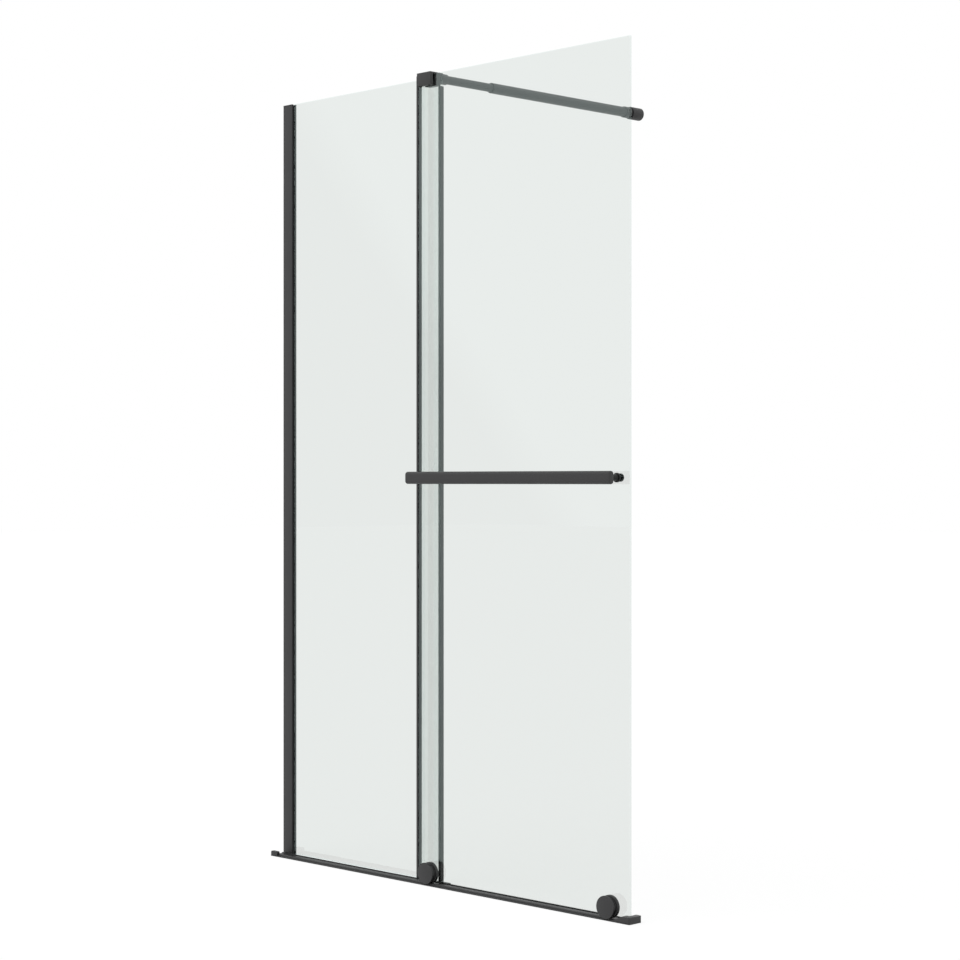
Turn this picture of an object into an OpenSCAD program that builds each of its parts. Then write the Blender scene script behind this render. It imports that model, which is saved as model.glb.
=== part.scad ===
// Sliding shower door: a fixed pane in a wall profile, a pane that slides in front of it on two
// grooved wheels, a floor rail, a top guide and a telescopic bar to the opposite wall.
// Millimetres. X = 0 is the wall face, +X runs along the screen. Y = 0 is the front face of the
// fixed glass, +Y points into the shower. Z = 0 is the floor.

/* [Screen] */
// Height of the fixed glass and the wall profile above the floor
screen_h = 1900; // [1700:5:2100]
// Distance from the wall to the free side of the fixed glass's edge profile
fixed_reach = 577.5; // [480:0.5:700]
// Thickness of both panes
glass_t = 6; // [5:0.5:8]
// Space between the back of the sliding glass and the front of the fixed glass
pane_gap = 18; // [16:0.5:22]
// Width of the sliding pane with its edge profile
panel_w = 670.6; // [560:0.1:800]
// Height of the sliding pane's top above the fixed pane's top
panel_rise = 3; // [1:0.5:8]
// Height of the sliding pane's lower edge above the floor
panel_bottom = 5.2; // [5.2:0.1:9]
// Height of the fixed glass's lower edge above the floor
fixed_bottom = 4; // [3.8:0.1:6]

/* [Wall profile] */
// Depth of the wall profile, out from the wall
wall_prof_d = 34; // [28:0.5:40]
// Width of the wall profile, across the glass
wall_prof_w = 15; // [15:0.5:20]
// Thickness of its sides
wall_prof_t = 1.6; // [1.2:0.1:1.6]
// Thickness of its web against the wall
wall_web_t = 2.2; // [1.8:0.1:4]
// Thickness of its top cap
wall_cap_t = 2; // [1:0.5:4]
// Diameter of the holes for the wall screws
wall_hole_d = 5; // [4:0.5:6]
// Distance from one wall screw hole to the next
wall_hole_pitch = 800; // [600:10:860]
// Number of side screws that lock the glazing profile
side_screws = 3; // [2:1:4]

/* [Glazing profile] */
// How far the glazing profile stands out of the wall profile
glaze_out = 1; // [1:0.5:14]
// Distance from the wall to the back of the glazing profile
glaze_back = 8; // [6:0.5:10]
// Thickness of its sides
glaze_t = 1.5; // [1.2:0.1:1.7]
// Thickness of the gaskets on the glass
gasket_t = 1; // [0.8:0.1:1.2]
// Height of the block at its foot
foot_block_h = 21; // [12:0.5:40]

/* [Edge profiles] */
// Width of the fixed pane's edge profile
post_w = 8; // [6:0.5:14]
// Thickness of its sides
post_t = 1.4; // [1:0.1:2]
// Thickness of the bonding tape in it
tape_t = 0.8; // [0.5:0.1:1.2]
// Width of the sliding pane's edge profile
edge_w = 6; // [5:0.5:10]
// Thickness of its walls
edge_t = 1.2; // [1:0.1:1.4]
// Space between its rear leg and the fixed glass, which the wiper fills
edge_gap = 12.6; // [11:0.1:13]
// Height of the plug in its foot
plug_h = 8; // [5:0.5:20]

/* [Floor rail] */
// Thickness of the rail's base
rail_t = 3; // [2.5:0.1:3.4]
// Width of the rib that the wheels run on
rib_w = 6; // [5:0.1:6.4]
// Height of the rib above the base
rib_h = 4; // [3.4:0.1:5]
// Distance from the rail's front edge to the middle of the rib
rib_setback = 7; // [5:0.5:9]
// Height of the end stop and how far the rail runs past the extended pane
stop_h = 15; // [12:0.5:20]
// Distance from the pane's free edge to the rail's end
stop_len = 16.7; // [12:0.1:25]
// Length of the ramp in front of the end stop
ramp_l = 37; // [30:0.5:38]
// Length of the small cap at the wall end
wall_end_l = 24; // [15:0.5:30]
// Height of that cap
wall_end_h = 13; // [8:0.5:16]

/* [Wheels] */
// Diameter of the wheels
wheel_d = 50; // [46:0.5:56]
// Width of the wheels
wheel_w = 21.5; // [20:0.5:25]
// Thickness of the wheel's face plate, which is the groove's front flange
face_t = 4.5; // [4:0.1:5]
// Width of the groove at the rim
groove_w = 9; // [8.6:0.1:10]
// Distance from each side of the pane to the wheel's axle
wheel_inset = 52; // [45:0.5:70]
// Outer diameter of the ball bearing
bearing_d = 22; // [20:0.5:24]
// Bore of the ball bearing
bearing_bore = 8; // [7:0.5:9]
// Width of the ball bearing
bearing_w = 7; // [5:0.5:7]

/* [Handle] */
// Height of the handle's flat oval tube
handle_h = 28.8; // [25:0.1:32]
// Depth of that tube, which has half-round edges
handle_w = 15; // [14:0.5:16]
// Wall thickness of the handle tube
handle_t = 1.5; // [1:0.1:2.5]
// Height of the handle's axis
handle_z = 954.4; // [850:0.1:1100]
// Distance from the glass to the handle's axis
handle_off = 43.3; // [36:0.1:60]
// Distance from each side of the pane to the tube's end
handle_inset = 13.3; // [10:0.1:60]
// Distance from the tube's end to the standoff
standoff_in = 21.5; // [13:0.5:120]
// Diameter of the standoff's stem
stem_d = 14; // [10:0.5:16]
// Diameter of the pad on the glass
pad_d = 21; // [18:0.5:28]
// Thickness of that pad
pad_t = 4.5; // [2:0.5:6]

/* [Top guide] */
// Length of the guide block
guide_l = 46; // [40:0.5:60]
// Height of the guide block
guide_h = 31; // [28:0.5:40]
// Thickness of its front plate
guide_front = 8.7; // [6:0.1:12]
// Length of its rear part
guide_rear_l = 36; // [28:0.5:38]
// Thickness of the bridge over the sliding glass
bridge_t = 3.2; // [2.5:0.1:5]
// Thickness of the nylon liners in the slot
liner_t = 1; // [0.8:0.1:1.5]
// Thickness of the rubber pads on the fixed glass
rubber_t = 1; // [0.6:0.1:1.2]

/* [Bar] */
// Distance from the fixed glass's front to the opposite wall
bar_reach = 721.6; // [600:0.1:1000]
// Diameter of the outer tube, the sleeve and the boss
bar_d = 25; // [23:0.5:26]
// Diameter of the inner tube
inner_d = 20; // [16:0.5:20.5]
// Wall thickness of both tubes
bar_t = 1.2; // [1:0.1:1.5]
// Length of the sleeve that holds the inner tube
sleeve_l = 16; // [14:0.5:40]
// Distance from the fixed glass's front to the start of the outer tube
outer_start = 178; // [120:1:260]
// Length of the inner tube
inner_l = 503; // [440:1:540]
// Diameter of the wall flange
flange_d = 32; // [30:0.5:36]
// Length of the wall flange's cup
flange_l = 38.6; // [30:0.1:50]
// Length of the collar in front of the cup
collar_l = 17; // [8:0.5:25]

/* [Hidden] */
$fn = 64;

// Clearances
free_gap = 0.3;    // between pieces that must not touch
run_gap = 0.05;    // radial, on a running fit
roll_gap = 0.3;    // between the wheel's groove and the rib
wheel_clear = 0.6; // between the wheel's flanges and the rail's base
cut = 1;           // how far a cutting shape runs past a face

// Across the glass
glass_mid = glass_t/2;
wall_y0 = glass_mid - wall_prof_w/2;
wall_y1 = glass_mid + wall_prof_w/2;
glaze_w = glass_t + 2*(gasket_t + glaze_t);
glaze_y0 = glass_mid - glaze_w/2;
glaze_y1 = glass_mid + glaze_w/2;
post_wide = glass_t + 2*(tape_t + post_t);
post_y0 = glass_mid - post_wide/2;
post_y1 = glass_mid + post_wide/2;
slide_y1 = -pane_gap;
slide_y0 = slide_y1 - glass_t;

// Wall side
glaze_x1 = wall_prof_d + glaze_out;
glass_in = glaze_back + glaze_t + 2.5;
prof_top = screen_h - wall_cap_t;
wall_hole_z = screen_h/2;
side_screw_x = glass_in + 4;
side_screw_end = 100;
side_screw_d = 3.2;

// Fixed pane's free edge
post_x0 = fixed_reach - post_w;
fixed_glass_x1 = fixed_reach - post_t;
foot_plate_t = 3;
foot_lug = 26;
foot_under = 14;
foot_hole_d = 4.5;

// Guide block
guide_x1 = fixed_reach - 2;
guide_x0 = guide_x1 - guide_l;
guide_rear_x0 = guide_x1 - guide_rear_l;
panel_top = screen_h + panel_rise;
top_gap = 1;
guide_top = panel_top + top_gap + bridge_t;
guide_bottom = guide_top - guide_h;
slot_y0 = slide_y0 - liner_t - free_gap;
slot_y1 = slide_y1 + liner_t + free_gap;
guide_y0 = slot_y0 - guide_front;
saddle_z = screen_h + 0.8;
post_top = guide_bottom - 1;
grub_d = 4;
grub_xs = [guide_rear_x0 + 8, guide_x1 - 8];
grub_z = guide_bottom + 10;

// Bar
bar_x = guide_x1 - bar_d/2;
bar_z = guide_top - bar_d/2 + 1.3;
boss_y0 = glass_t + rubber_t;
boss_l = 5.2;
sleeve_y0 = boss_y0 + boss_l;
sleeve_y1 = sleeve_y0 + sleeve_l;
sleeve_floor = 5;
inner_y0 = sleeve_y0 + sleeve_floor;
inner_y1 = inner_y0 + inner_l;
bush_l = 20;
lip_t = 1.5;
stud_d = 8;
flange_y0 = bar_reach - flange_l;
neck_l = 6;
collar_y0 = flange_y0 - neck_l - collar_l;
base_t = 9;
outer_y1 = bar_reach - base_t - 2.6;
flange_hole_d = 5.5;
flange_base_r = bar_d/2 + 1;
sleeve_grub_y = (inner_y0 + sleeve_y1)/2;
lock_y = outer_start + lip_t + bush_l/2;

// Sliding pane
panel_stop = 5.3;
panel_x0 = guide_x0 - panel_stop - edge_w;
panel_x1 = panel_x0 + panel_w;
edge_y0 = slide_y0 - edge_t - 0.1;
edge_y1 = -edge_gap;
top_plug_t = 1.5;

// Wheels
wheel_gap = 1.5;
wheel_y1 = slide_y0 - wheel_gap;
wheel_y0 = wheel_y1 - wheel_w;
groove_y0 = wheel_y0 + face_t;
groove_y1 = groove_y0 + groove_w;
rib_y = (groove_y0 + groove_y1)/2;
axle_z = rail_t + wheel_clear + wheel_d/2;
groove_r = axle_z - rail_t - rib_h - roll_gap;
groove_floor_w = rib_w + 2*free_gap;
bearing_y0 = groove_y0 + 2.5;
axle_hole_d = 16;
wheel_xs = [panel_x0 + wheel_inset, panel_x1 - wheel_inset];
nut_d = 20;
nut_l = 6;
thread_d = 8;
washer_t = 0.8;
collar_t = 0.4;
axle_y0 = bearing_y0 - 0.5;
axle_y1 = slide_y1 + washer_t + nut_l - 2;

// Rail
rail_y0 = rib_y - rib_setback;
rail_y1 = wall_y0;
rail_len = panel_x1 + stop_len;
stop_wall = 3.5;
stop_round = 4;
ramp_short = 7;    // the ramp ends this far before the pane's free edge
block_clear = 1.2; // from the pane's free edge to the block
ramp_x1 = panel_x1 - ramp_short;
ramp_x0 = ramp_x1 - ramp_l;
ramp_y1 = wheel_y1 - 1;
ramp_lip = 0.6;
ramp_rise = stop_h - rail_t - ramp_lip;
ramp_r = (ramp_l*ramp_l + ramp_rise*ramp_rise)/(2*ramp_rise);
seal_w = 4.5;
seal_in = 1;
seal_top = min(panel_bottom - 0.5, rail_t + 1.7);
wall_end_w = 9;

// Handle
handle_y = slide_y0 - handle_off;
handle_y1 = handle_y + handle_w/2;
handle_flat = handle_h - handle_w;
handle_x0 = panel_x0 + handle_inset;
handle_x1 = panel_x1 - handle_inset;
cap_round = 3;
standoff_xs = [handle_x0 + standoff_in, handle_x1 - standoff_in];
handle_hole_d = 12;
pad_y1 = slide_y0 - washer_t;
bolt_d = 6;
cap_nut_d = 18;
cap_nut_l = 5;
bolt_y1 = slide_y1 + washer_t + cap_nut_l - 1.5;

black = "#2b2b2d";
seal_black = "#161617";
clear_glass = [0.80, 0.90, 0.87, 0.35];
clear_seal = [0.85, 0.88, 0.88, 0.5];
nylon = "#1c1c1e";
steel = "#9a9da0";

// Box given by its low and high corners
module box(x0, x1, y0, y1, z0, z1) {
    translate([x0, y0, z0]) cube([x1 - x0, y1 - y0, z1 - z0]);
}

// Round bar along Y
module rod_y(x, z, y0, y1, d) {
    translate([x, y0, z]) rotate([-90, 0, 0]) cylinder(d = d, h = y1 - y0);
}

// Ring along Y
module ring_y(x, z, y0, y1, d_out, d_in) {
    difference() {
        rod_y(x, z, y0, y1, d_out);
        rod_y(x, z, y0 - cut, y1 + cut, d_in);
    }
}

// Round bar along X
module rod_x(y, z, x0, x1, d) {
    translate([x0, y, z]) rotate([0, 90, 0]) cylinder(d = d, h = x1 - x0);
}

// Flat shape in X and Z, stretched from y0 to y1
module across(y0, y1) {
    translate([0, y1, 0]) rotate([90, 0, 0]) linear_extrude(y1 - y0) children();
}

// Flat shape in Y and Z, stretched from x0 to x1
module along(x0, x1) {
    translate([x0, 0, 0]) rotate([90, 0, 90]) linear_extrude(x1 - x0) children();
}

// Rectangle given by its low and high corners
module rect(x0, x1, y0, y1) {
    translate([x0, y0]) square([x1 - x0, y1 - y0]);
}

function side_screw_zs() = [for (i = [0:side_screws - 1])
    side_screw_end + i*(prof_top - 2*side_screw_end)/(side_screws - 1)];

module wall_profile() {
    color(black) difference() {
        linear_extrude(prof_top) difference() {
            rect(0, wall_prof_d, wall_y0, wall_y1);
            rect(wall_web_t, wall_prof_d + cut, wall_y0 + wall_prof_t,
                wall_y1 - wall_prof_t);
        }
        for (i = [-1:1])
            rod_x(glass_mid, wall_hole_z + i*wall_hole_pitch, -cut, wall_web_t + cut,
                wall_hole_d);
        for (z = side_screw_zs())
            rod_y(side_screw_x, z, wall_y1 - wall_prof_t - cut, wall_y1 + cut, side_screw_d);
    }
}

module wall_profile_cap() {
    spigot_h = 8;
    spigot_gap = 0.2;
    color(seal_black) difference() {
        union() {
            box(0, wall_prof_d, wall_y0, wall_y1, prof_top, screen_h);
            box(wall_web_t + spigot_gap, glaze_back + cut,
                wall_y0 + wall_prof_t + spigot_gap, wall_y1 - wall_prof_t - spigot_gap,
                prof_top - spigot_h, prof_top);
        }
        box(glaze_back - spigot_gap, wall_prof_d + cut, glaze_y0 - spigot_gap,
            glaze_y1 + spigot_gap, prof_top - spigot_h - cut, screen_h + cut);
    }
}

module glazing_profile() {
    color(black) difference() {
        box(glaze_back, glaze_x1, glaze_y0, glaze_y1, foot_block_h, screen_h);
        box(glaze_back + glaze_t, glaze_x1 + cut, glaze_y0 + glaze_t, glaze_y1 - glaze_t,
            foot_block_h - cut, screen_h + cut);
        for (z = side_screw_zs())
            rod_y(side_screw_x, z, glaze_y1 - glaze_t - cut, glaze_y1 + cut, side_screw_d);
    }
}

// The screws lock the glazing profile in the wall profile, from inside the shower
module glazing_screws() {
    head_d = 6.5;
    head_t = 2;
    color(steel) for (z = side_screw_zs()) {
        rod_y(side_screw_x, z, glaze_y1 - glaze_t, wall_y1, side_screw_d);
        rod_y(side_screw_x, z, wall_y1, wall_y1 + head_t, head_d);
    }
}

module glazing_gaskets() {
    back = 0.5;
    color(seal_black) {
        box(glass_in, glaze_x1 - back, -gasket_t, 0, foot_block_h, screen_h - back);
        box(glass_in, glaze_x1 - back, glass_t, glass_t + gasket_t, foot_block_h,
            screen_h - back);
    }
}

module glazing_foot_block() {
    color(seal_black) difference() {
        box(glaze_back, glaze_x1 - free_gap, glaze_y0, glaze_y1, 0, foot_block_h);
        box(glass_in, glaze_x1 + cut, 0, glass_t, fixed_bottom, foot_block_h + cut);
    }
}

module fixed_glass() {
    color(clear_glass) box(glass_in, fixed_glass_x1, 0, glass_t, fixed_bottom, screen_h);
}

module fixed_edge_profile() {
    color(black) difference() {
        box(post_x0, fixed_reach, post_y0, post_y1, foot_plate_t, post_top);
        box(post_x0 - cut, fixed_glass_x1, -tape_t, glass_t + tape_t, foot_plate_t - cut,
            post_top + cut);
    }
}

module fixed_profile_tape() {
    tape_x0 = post_x0 + 0.5;
    color(seal_black) {
        box(tape_x0, fixed_glass_x1, -tape_t, 0, foot_plate_t + cut, post_top);
        box(tape_x0, fixed_glass_x1, glass_t, glass_t + tape_t, foot_plate_t + cut, post_top);
    }
}

// Clear fin that closes the space between the two panes, clear of the wheel's cap nut
module fixed_seal_fin() {
    fin_t = 1.2;
    strip_t = 0.8;
    fin_end = 4;
    fin_z0 = axle_z + nut_d/2 + 2*fin_end;
    fin_z1 = guide_bottom - fin_end;
    color(clear_seal) {
        box(post_x0 + 0.5, fixed_reach - 0.5, post_y0 - strip_t, post_y0, fin_z0, fin_z1);
        box(post_x0 + 1, post_x0 + 1 + fin_t, slide_y1 + free_gap, post_y0 - strip_t, fin_z0,
            fin_z1);
    }
}

module fixed_floor_gasket() {
    side = 0.5;
    color(clear_seal) box(glaze_x1, post_x0 - foot_under - free_gap, -side,
        glass_t + side, 0, fixed_bottom);
}

// Plate under the free edge, with a round-ended lug and a screw hole beside the profile
module post_foot() {
    side = 1.8;
    y0 = post_y0 - side;
    y1 = post_y1 + side;
    lug_x = fixed_reach + foot_lug - (y1 - y0)/2;
    color(black) linear_extrude(foot_plate_t) difference() {
        union() {
            rect(post_x0 - foot_under, lug_x, y0, y1);
            translate([lug_x, glass_mid]) circle(d = y1 - y0);
        }
        translate([lug_x, glass_mid]) circle(d = foot_hole_d);
    }
}

// Flat base with a chamfered front edge, a groove for the seal, and a round-topped rib
module floor_rail() {
    chamfer = 1;
    color(black) difference() {
        union() {
            along(0, rail_len - stop_wall) polygon([
                [rail_y0, 0], [rail_y1, 0], [rail_y1, rail_t],
                [rail_y0 + chamfer, rail_t], [rail_y0, rail_t - chamfer]]);
            along(wall_end_l + 2, ramp_x0 - free_gap) union() {
                rect(rib_y - rib_w/2, rib_y + rib_w/2, rail_t - chamfer,
                    rail_t + rib_h - rib_w/2);
                translate([rib_y, rail_t + rib_h - rib_w/2]) circle(d = rib_w);
            }
        }
        box(-cut, rail_len, rail_y1 - seal_w - 0.5, rail_y1 - 0.5, rail_t - seal_in,
            rail_t + cut);
    }
}

module floor_seal() {
    color(seal_black) box(0, panel_x1 + 1, rail_y1 - seal_w - 0.5, rail_y1 - 0.5,
        rail_t - seal_in, seal_top);
}

module rail_wall_cap() {
    r = 3;
    color(black) across(rail_y0, rail_y0 + wall_end_w) union() {
        rect(0, wall_end_l, rail_t, wall_end_h - r);
        rect(r, wall_end_l - r, wall_end_h - r, wall_end_h);
        for (x = [r, wall_end_l - r])
            translate([x, wall_end_h - r]) circle(r);
    }
}

// Hollow ramp in front of the sliding pane's last wheel, up to a block that closes the rail
module rail_end_stop() {
    color(black) intersection() {
        union() {
            across(rail_y0, ramp_y1) difference() {
                rect(ramp_x0, rail_len, rail_t, stop_h);
                translate([ramp_x0, rail_t + ramp_lip + ramp_r])
                    circle(ramp_r, $fn = 200);
            }
            box(panel_x1 + block_clear, rail_len, rail_y0, rail_y1, rail_t, stop_h);
            box(rail_len - stop_wall, rail_len, rail_y0, rail_y1, 0, stop_h);
        }
        linear_extrude(stop_h) union() {
            rect(0, rail_len - stop_round, rail_y0, rail_y1);
            rect(0, rail_len, rail_y0 + stop_round, rail_y1 - stop_round);
            for (y = [rail_y0 + stop_round, rail_y1 - stop_round])
                translate([rail_len - stop_round, y]) circle(stop_round);
        }
    }
}

// Front plate, bridge over the sliding glass, rear part, saddle over the fixed glass and a
// round boss behind it
module guide_body() {
    color(black) difference() {
        union() {
            box(guide_x0, guide_x1, guide_y0, slot_y0, guide_bottom, guide_top);
            box(guide_x0, guide_x1, slot_y0, slot_y1, guide_top - bridge_t, guide_top);
            box(guide_rear_x0, guide_x1, slot_y1, -rubber_t, guide_bottom, guide_top);
            box(guide_x1 - bar_d, guide_x1, -rubber_t, boss_y0, saddle_z, guide_top);
            rod_y(bar_x, bar_z, boss_y0, sleeve_y0, bar_d);
        }
        rod_y(bar_x, bar_z, boss_y0 + 0.5, sleeve_y0 + cut, stud_d);
        for (x = grub_xs)
            rod_y(x, grub_z, slot_y1 - cut, -rubber_t + cut, grub_d);
    }
}

module guide_liners() {
    short = 1;
    color(nylon) {
        box(guide_x0 + short, guide_x1 - short, slot_y0, slot_y0 + liner_t,
            guide_bottom + short, guide_top - bridge_t);
        box(guide_rear_x0 + short, guide_x1 - short, slot_y1 - liner_t, slot_y1,
            guide_bottom + short, guide_top - bridge_t);
    }
}

module guide_pads() {
    color(seal_black) {
        box(guide_rear_x0 + cut, guide_x1 - cut, -rubber_t, 0, guide_bottom + cut, screen_h);
        intersection() {
            rod_y(bar_x, bar_z, glass_t, boss_y0, bar_d - 1);
            box(0, fixed_reach, 0, boss_y0, guide_bottom - bar_d, screen_h);
        }
    }
}

// Grub screws that press the front pad on the fixed glass
module guide_grub_screws() {
    color(steel) for (x = grub_xs)
        rod_y(x, grub_z, slot_y1 + 3, -rubber_t, grub_d);
}

module bar_stud() {
    color(steel) rod_y(bar_x, bar_z, boss_y0 + 0.5, inner_y0, stud_d);
}

module bar_sleeve() {
    color(black) difference() {
        rod_y(bar_x, bar_z, sleeve_y0, sleeve_y1, bar_d);
        rod_y(bar_x, bar_z, sleeve_y0 - cut, inner_y0 + cut, stud_d);
        rod_y(bar_x, bar_z, inner_y0, sleeve_y1 + cut, inner_d);
        translate([bar_x, sleeve_grub_y, bar_z - bar_d/2 - cut])
            cylinder(d = grub_d, h = bar_d/2 - inner_d/2 + 2*cut);
    }
}

module sleeve_grub_screw() {
    color(steel) translate([bar_x, sleeve_grub_y, bar_z - bar_d/2 + 0.5])
        cylinder(d = grub_d, h = bar_d/2 - inner_d/2 - 0.5);
}

module bar_inner_tube() {
    color(black) ring_y(bar_x, bar_z, inner_y0, inner_y1, inner_d, inner_d - 2*bar_t);
}

// Bush on the inner tube's far end, running in the outer tube
module bar_inner_bush() {
    color(nylon) ring_y(bar_x, bar_z, inner_y1 - bush_l, inner_y1,
        bar_d - 2*bar_t - 2*run_gap, inner_d);
}

module sliding_glass() {
    color(clear_glass) difference() {
        box(panel_x0 + edge_t, panel_x1, slide_y0, slide_y1, panel_bottom, panel_top);
        for (x = wheel_xs)
            rod_y(x, axle_z, slide_y0 - cut, slide_y1 + cut, axle_hole_d);
        for (x = standoff_xs)
            rod_y(x, handle_z, slide_y0 - cut, slide_y1 + cut, handle_hole_d);
    }
}

// Outline of the sliding pane's edge profile: lip, web, and a leg behind the glass
module edge_outline() {
    difference() {
        rect(panel_x0, panel_x0 + edge_w, edge_y0, edge_y1);
        rect(panel_x0 + edge_t, panel_x0 + edge_w + cut, slide_y0, slide_y1);
    }
}

module sliding_edge_profile() {
    color(black) translate([0, 0, panel_bottom + plug_h])
        linear_extrude(panel_top - panel_bottom - plug_h - top_plug_t) difference() {
            edge_outline();
            rect(panel_x0 + edge_t, panel_x0 + edge_w - edge_t, slide_y1 + edge_t,
                edge_y1 - edge_t);
        }
}

module sliding_profile_plugs() {
    color(seal_black) {
        translate([0, 0, panel_bottom]) linear_extrude(plug_h) edge_outline();
        translate([0, 0, panel_top - top_plug_t]) linear_extrude(top_plug_t) edge_outline();
    }
}

module sliding_wiper_seal() {
    wiper_t = 1.5;
    wiper_x = panel_x0 + edge_w/2 - wiper_t/2;
    color(clear_seal) box(wiper_x, wiper_x + wiper_t, edge_y1, -free_gap - 0.2,
        panel_bottom + plug_h, screen_h - 2);
}

// The handle's section made smaller all round by inset
module handle_outline(inset) {
    half = handle_w/2 - inset;
    rect(handle_y - half, handle_y + half, handle_z - handle_flat/2,
        handle_z + handle_flat/2);
    for (side = [-1, 1])
        translate([handle_y, handle_z + side*handle_flat/2]) circle(half);
}

module handle_tube() {
    color(black) difference() {
        along(handle_x0 + cap_round, handle_x1 - cap_round) difference() {
            handle_outline(0);
            handle_outline(handle_t);
        }
        for (x = standoff_xs)
            rod_y(x, handle_z, handle_y, handle_y1 + cut, bolt_d);
    }
}

// Half the section of an end cap's rounded rim
module cap_rim() {
    flat_r = handle_w/2 - cap_round;
    square([flat_r, cap_round]);
    translate([flat_r, 0]) intersection() {
        circle(cap_round);
        square(cap_round);
    }
}

// Plug with a rounded rim in each end of the tube
module handle_end_caps() {
    spigot = 6;
    color(black) {
        for (end = [0, 1])
            translate([end == 0 ? handle_x0 + cap_round : handle_x1 - cap_round, handle_y,
                handle_z])
                rotate([0, end == 0 ? -90 : 90, 0]) {
                    for (side = [-1, 1])
                        translate([side*handle_flat/2, 0, 0]) rotate_extrude() cap_rim();
                    translate([handle_flat/2, 0, 0]) rotate([90, 0, -90])
                        linear_extrude(handle_flat) for (m = [0, 1])
                            mirror([m, 0]) cap_rim();
                }
        along(handle_x0 + cap_round, handle_x0 + cap_round + spigot)
            handle_outline(handle_t);
        along(handle_x1 - cap_round - spigot, handle_x1 - cap_round)
            handle_outline(handle_t);
    }
}

// Stem with a pad on the glass, cut to the tube's back
module handle_standoffs() {
    color(black) for (x = standoff_xs) difference() {
        union() {
            rod_y(x, handle_z, pad_y1 - pad_t, pad_y1, pad_d);
            rod_y(x, handle_z, handle_y1 - handle_t, pad_y1 - pad_t, stem_d);
        }
        along(x - pad_d, x + pad_d) handle_outline(0);
        rod_y(x, handle_z, handle_y, pad_y1 + cut, bolt_d);
    }
}

// Bolts from inside the tube, through the standoffs and the glass
module handle_bolts() {
    head_d = 10;
    head_t = 4;
    head_y = handle_y1 - handle_t;
    color(steel) for (x = standoff_xs) {
        rod_y(x, handle_z, head_y, bolt_y1, bolt_d);
        rod_y(x, handle_z, head_y - head_t, head_y, head_d);
    }
}

module handle_washers() {
    color(clear_seal) for (x = standoff_xs) {
        ring_y(x, handle_z, pad_y1, slide_y0, pad_d, bolt_d);
        ring_y(x, handle_z, slide_y1, slide_y1 + washer_t, cap_nut_d, bolt_d);
    }
}

module handle_bushes() {
    color(nylon) for (x = standoff_xs)
        ring_y(x, handle_z, slide_y0, slide_y1, handle_hole_d, bolt_d);
}

module handle_cap_nuts() {
    color(black) for (x = standoff_xs) difference() {
        rod_y(x, handle_z, slide_y1 + washer_t, slide_y1 + washer_t + cap_nut_l, cap_nut_d);
        rod_y(x, handle_z, slide_y1 + washer_t - cut, bolt_y1, bolt_d);
    }
}

module roller_axles() {
    color(steel) for (x = wheel_xs) {
        rod_y(x, axle_z, slide_y0 - washer_t, axle_y1, thread_d);
        rod_y(x, axle_z, slide_y0 - washer_t - collar_t, slide_y0 - washer_t, nut_d);
        rod_y(x, axle_z, axle_y0, slide_y0 - washer_t - collar_t, bearing_bore - 2*run_gap);
    }
}

module roller_washers() {
    color(seal_black) for (x = wheel_xs) {
        ring_y(x, axle_z, slide_y0 - washer_t, slide_y0, nut_d, thread_d);
        ring_y(x, axle_z, slide_y1, slide_y1 + washer_t, nut_d, thread_d);
    }
}

module roller_bushes() {
    color(nylon) for (x = wheel_xs)
        ring_y(x, axle_z, slide_y0, slide_y1, axle_hole_d, thread_d);
}

module roller_cap_nuts() {
    color(black) for (x = wheel_xs) difference() {
        rod_y(x, axle_z, slide_y1 + washer_t, slide_y1 + washer_t + nut_l, nut_d);
        rod_y(x, axle_z, slide_y1 + washer_t - cut, axle_y1, thread_d);
    }
}

// Screw with a wide head in the axle's end, inside the face plate
module roller_end_screws() {
    head_d = bearing_bore + 3;
    head_t = 1.2;
    color(steel) for (x = wheel_xs)
        rod_y(x, axle_z, axle_y0 - head_t, axle_y0, head_d);
}

// Wheel body: groove beside the face plate, rear flange, pocket for the bearing
module wheel_body(x) {
    hub_bore = bearing_bore + 4;
    slope = (groove_w - groove_floor_w)/2;
    edge = 0.6;
    r = wheel_d/2;
    color(seal_black) translate([x, groove_y0, axle_z]) rotate([-90, 0, 0])
        rotate_extrude() polygon([
            [bearing_d/2, 0], [r - 1.2, 0], [groove_r, slope],
            [groove_r, groove_w - slope], [r, groove_w],
            [r, wheel_y1 - groove_y0 - edge], [r - edge, wheel_y1 - groove_y0],
            [hub_bore/2, wheel_y1 - groove_y0],
            [hub_bore/2, bearing_y0 + bearing_w - groove_y0],
            [bearing_d/2, bearing_y0 + bearing_w - groove_y0]]);
}

// One ball bearing, drawn as a ring that turns with its wheel
module wheel_bearing(x) {
    color(steel) ring_y(x, axle_z, bearing_y0, bearing_y0 + bearing_w, bearing_d,
        bearing_bore);
}

// Face plate with a chamfered rim and a spigot in the bearing pocket
module wheel_face(x) {
    edge = 0.8;
    r = wheel_d/2;
    spigot = 1.2;
    recess_r = bearing_bore/2 + 2.5;
    color(black) translate([x, wheel_y0, axle_z]) rotate([-90, 0, 0])
        rotate_extrude() polygon([
            [0, 0], [r - edge, 0], [r, edge], [r, face_t - edge/2], [r - edge/2, face_t],
            [bearing_d/2, face_t], [bearing_d/2, face_t + spigot],
            [recess_r, face_t + spigot], [recess_r, face_t - 1], [0, face_t - 1]]);
}

module bar_outer_tube() {
    color(black) difference() {
        ring_y(bar_x, bar_z, outer_start + lip_t, outer_y1, bar_d, bar_d - 2*bar_t);
        translate([bar_x, lock_y, bar_z - bar_d/2 - cut])
            cylinder(d = grub_d, h = bar_t + 2*cut);
    }
}

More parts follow.
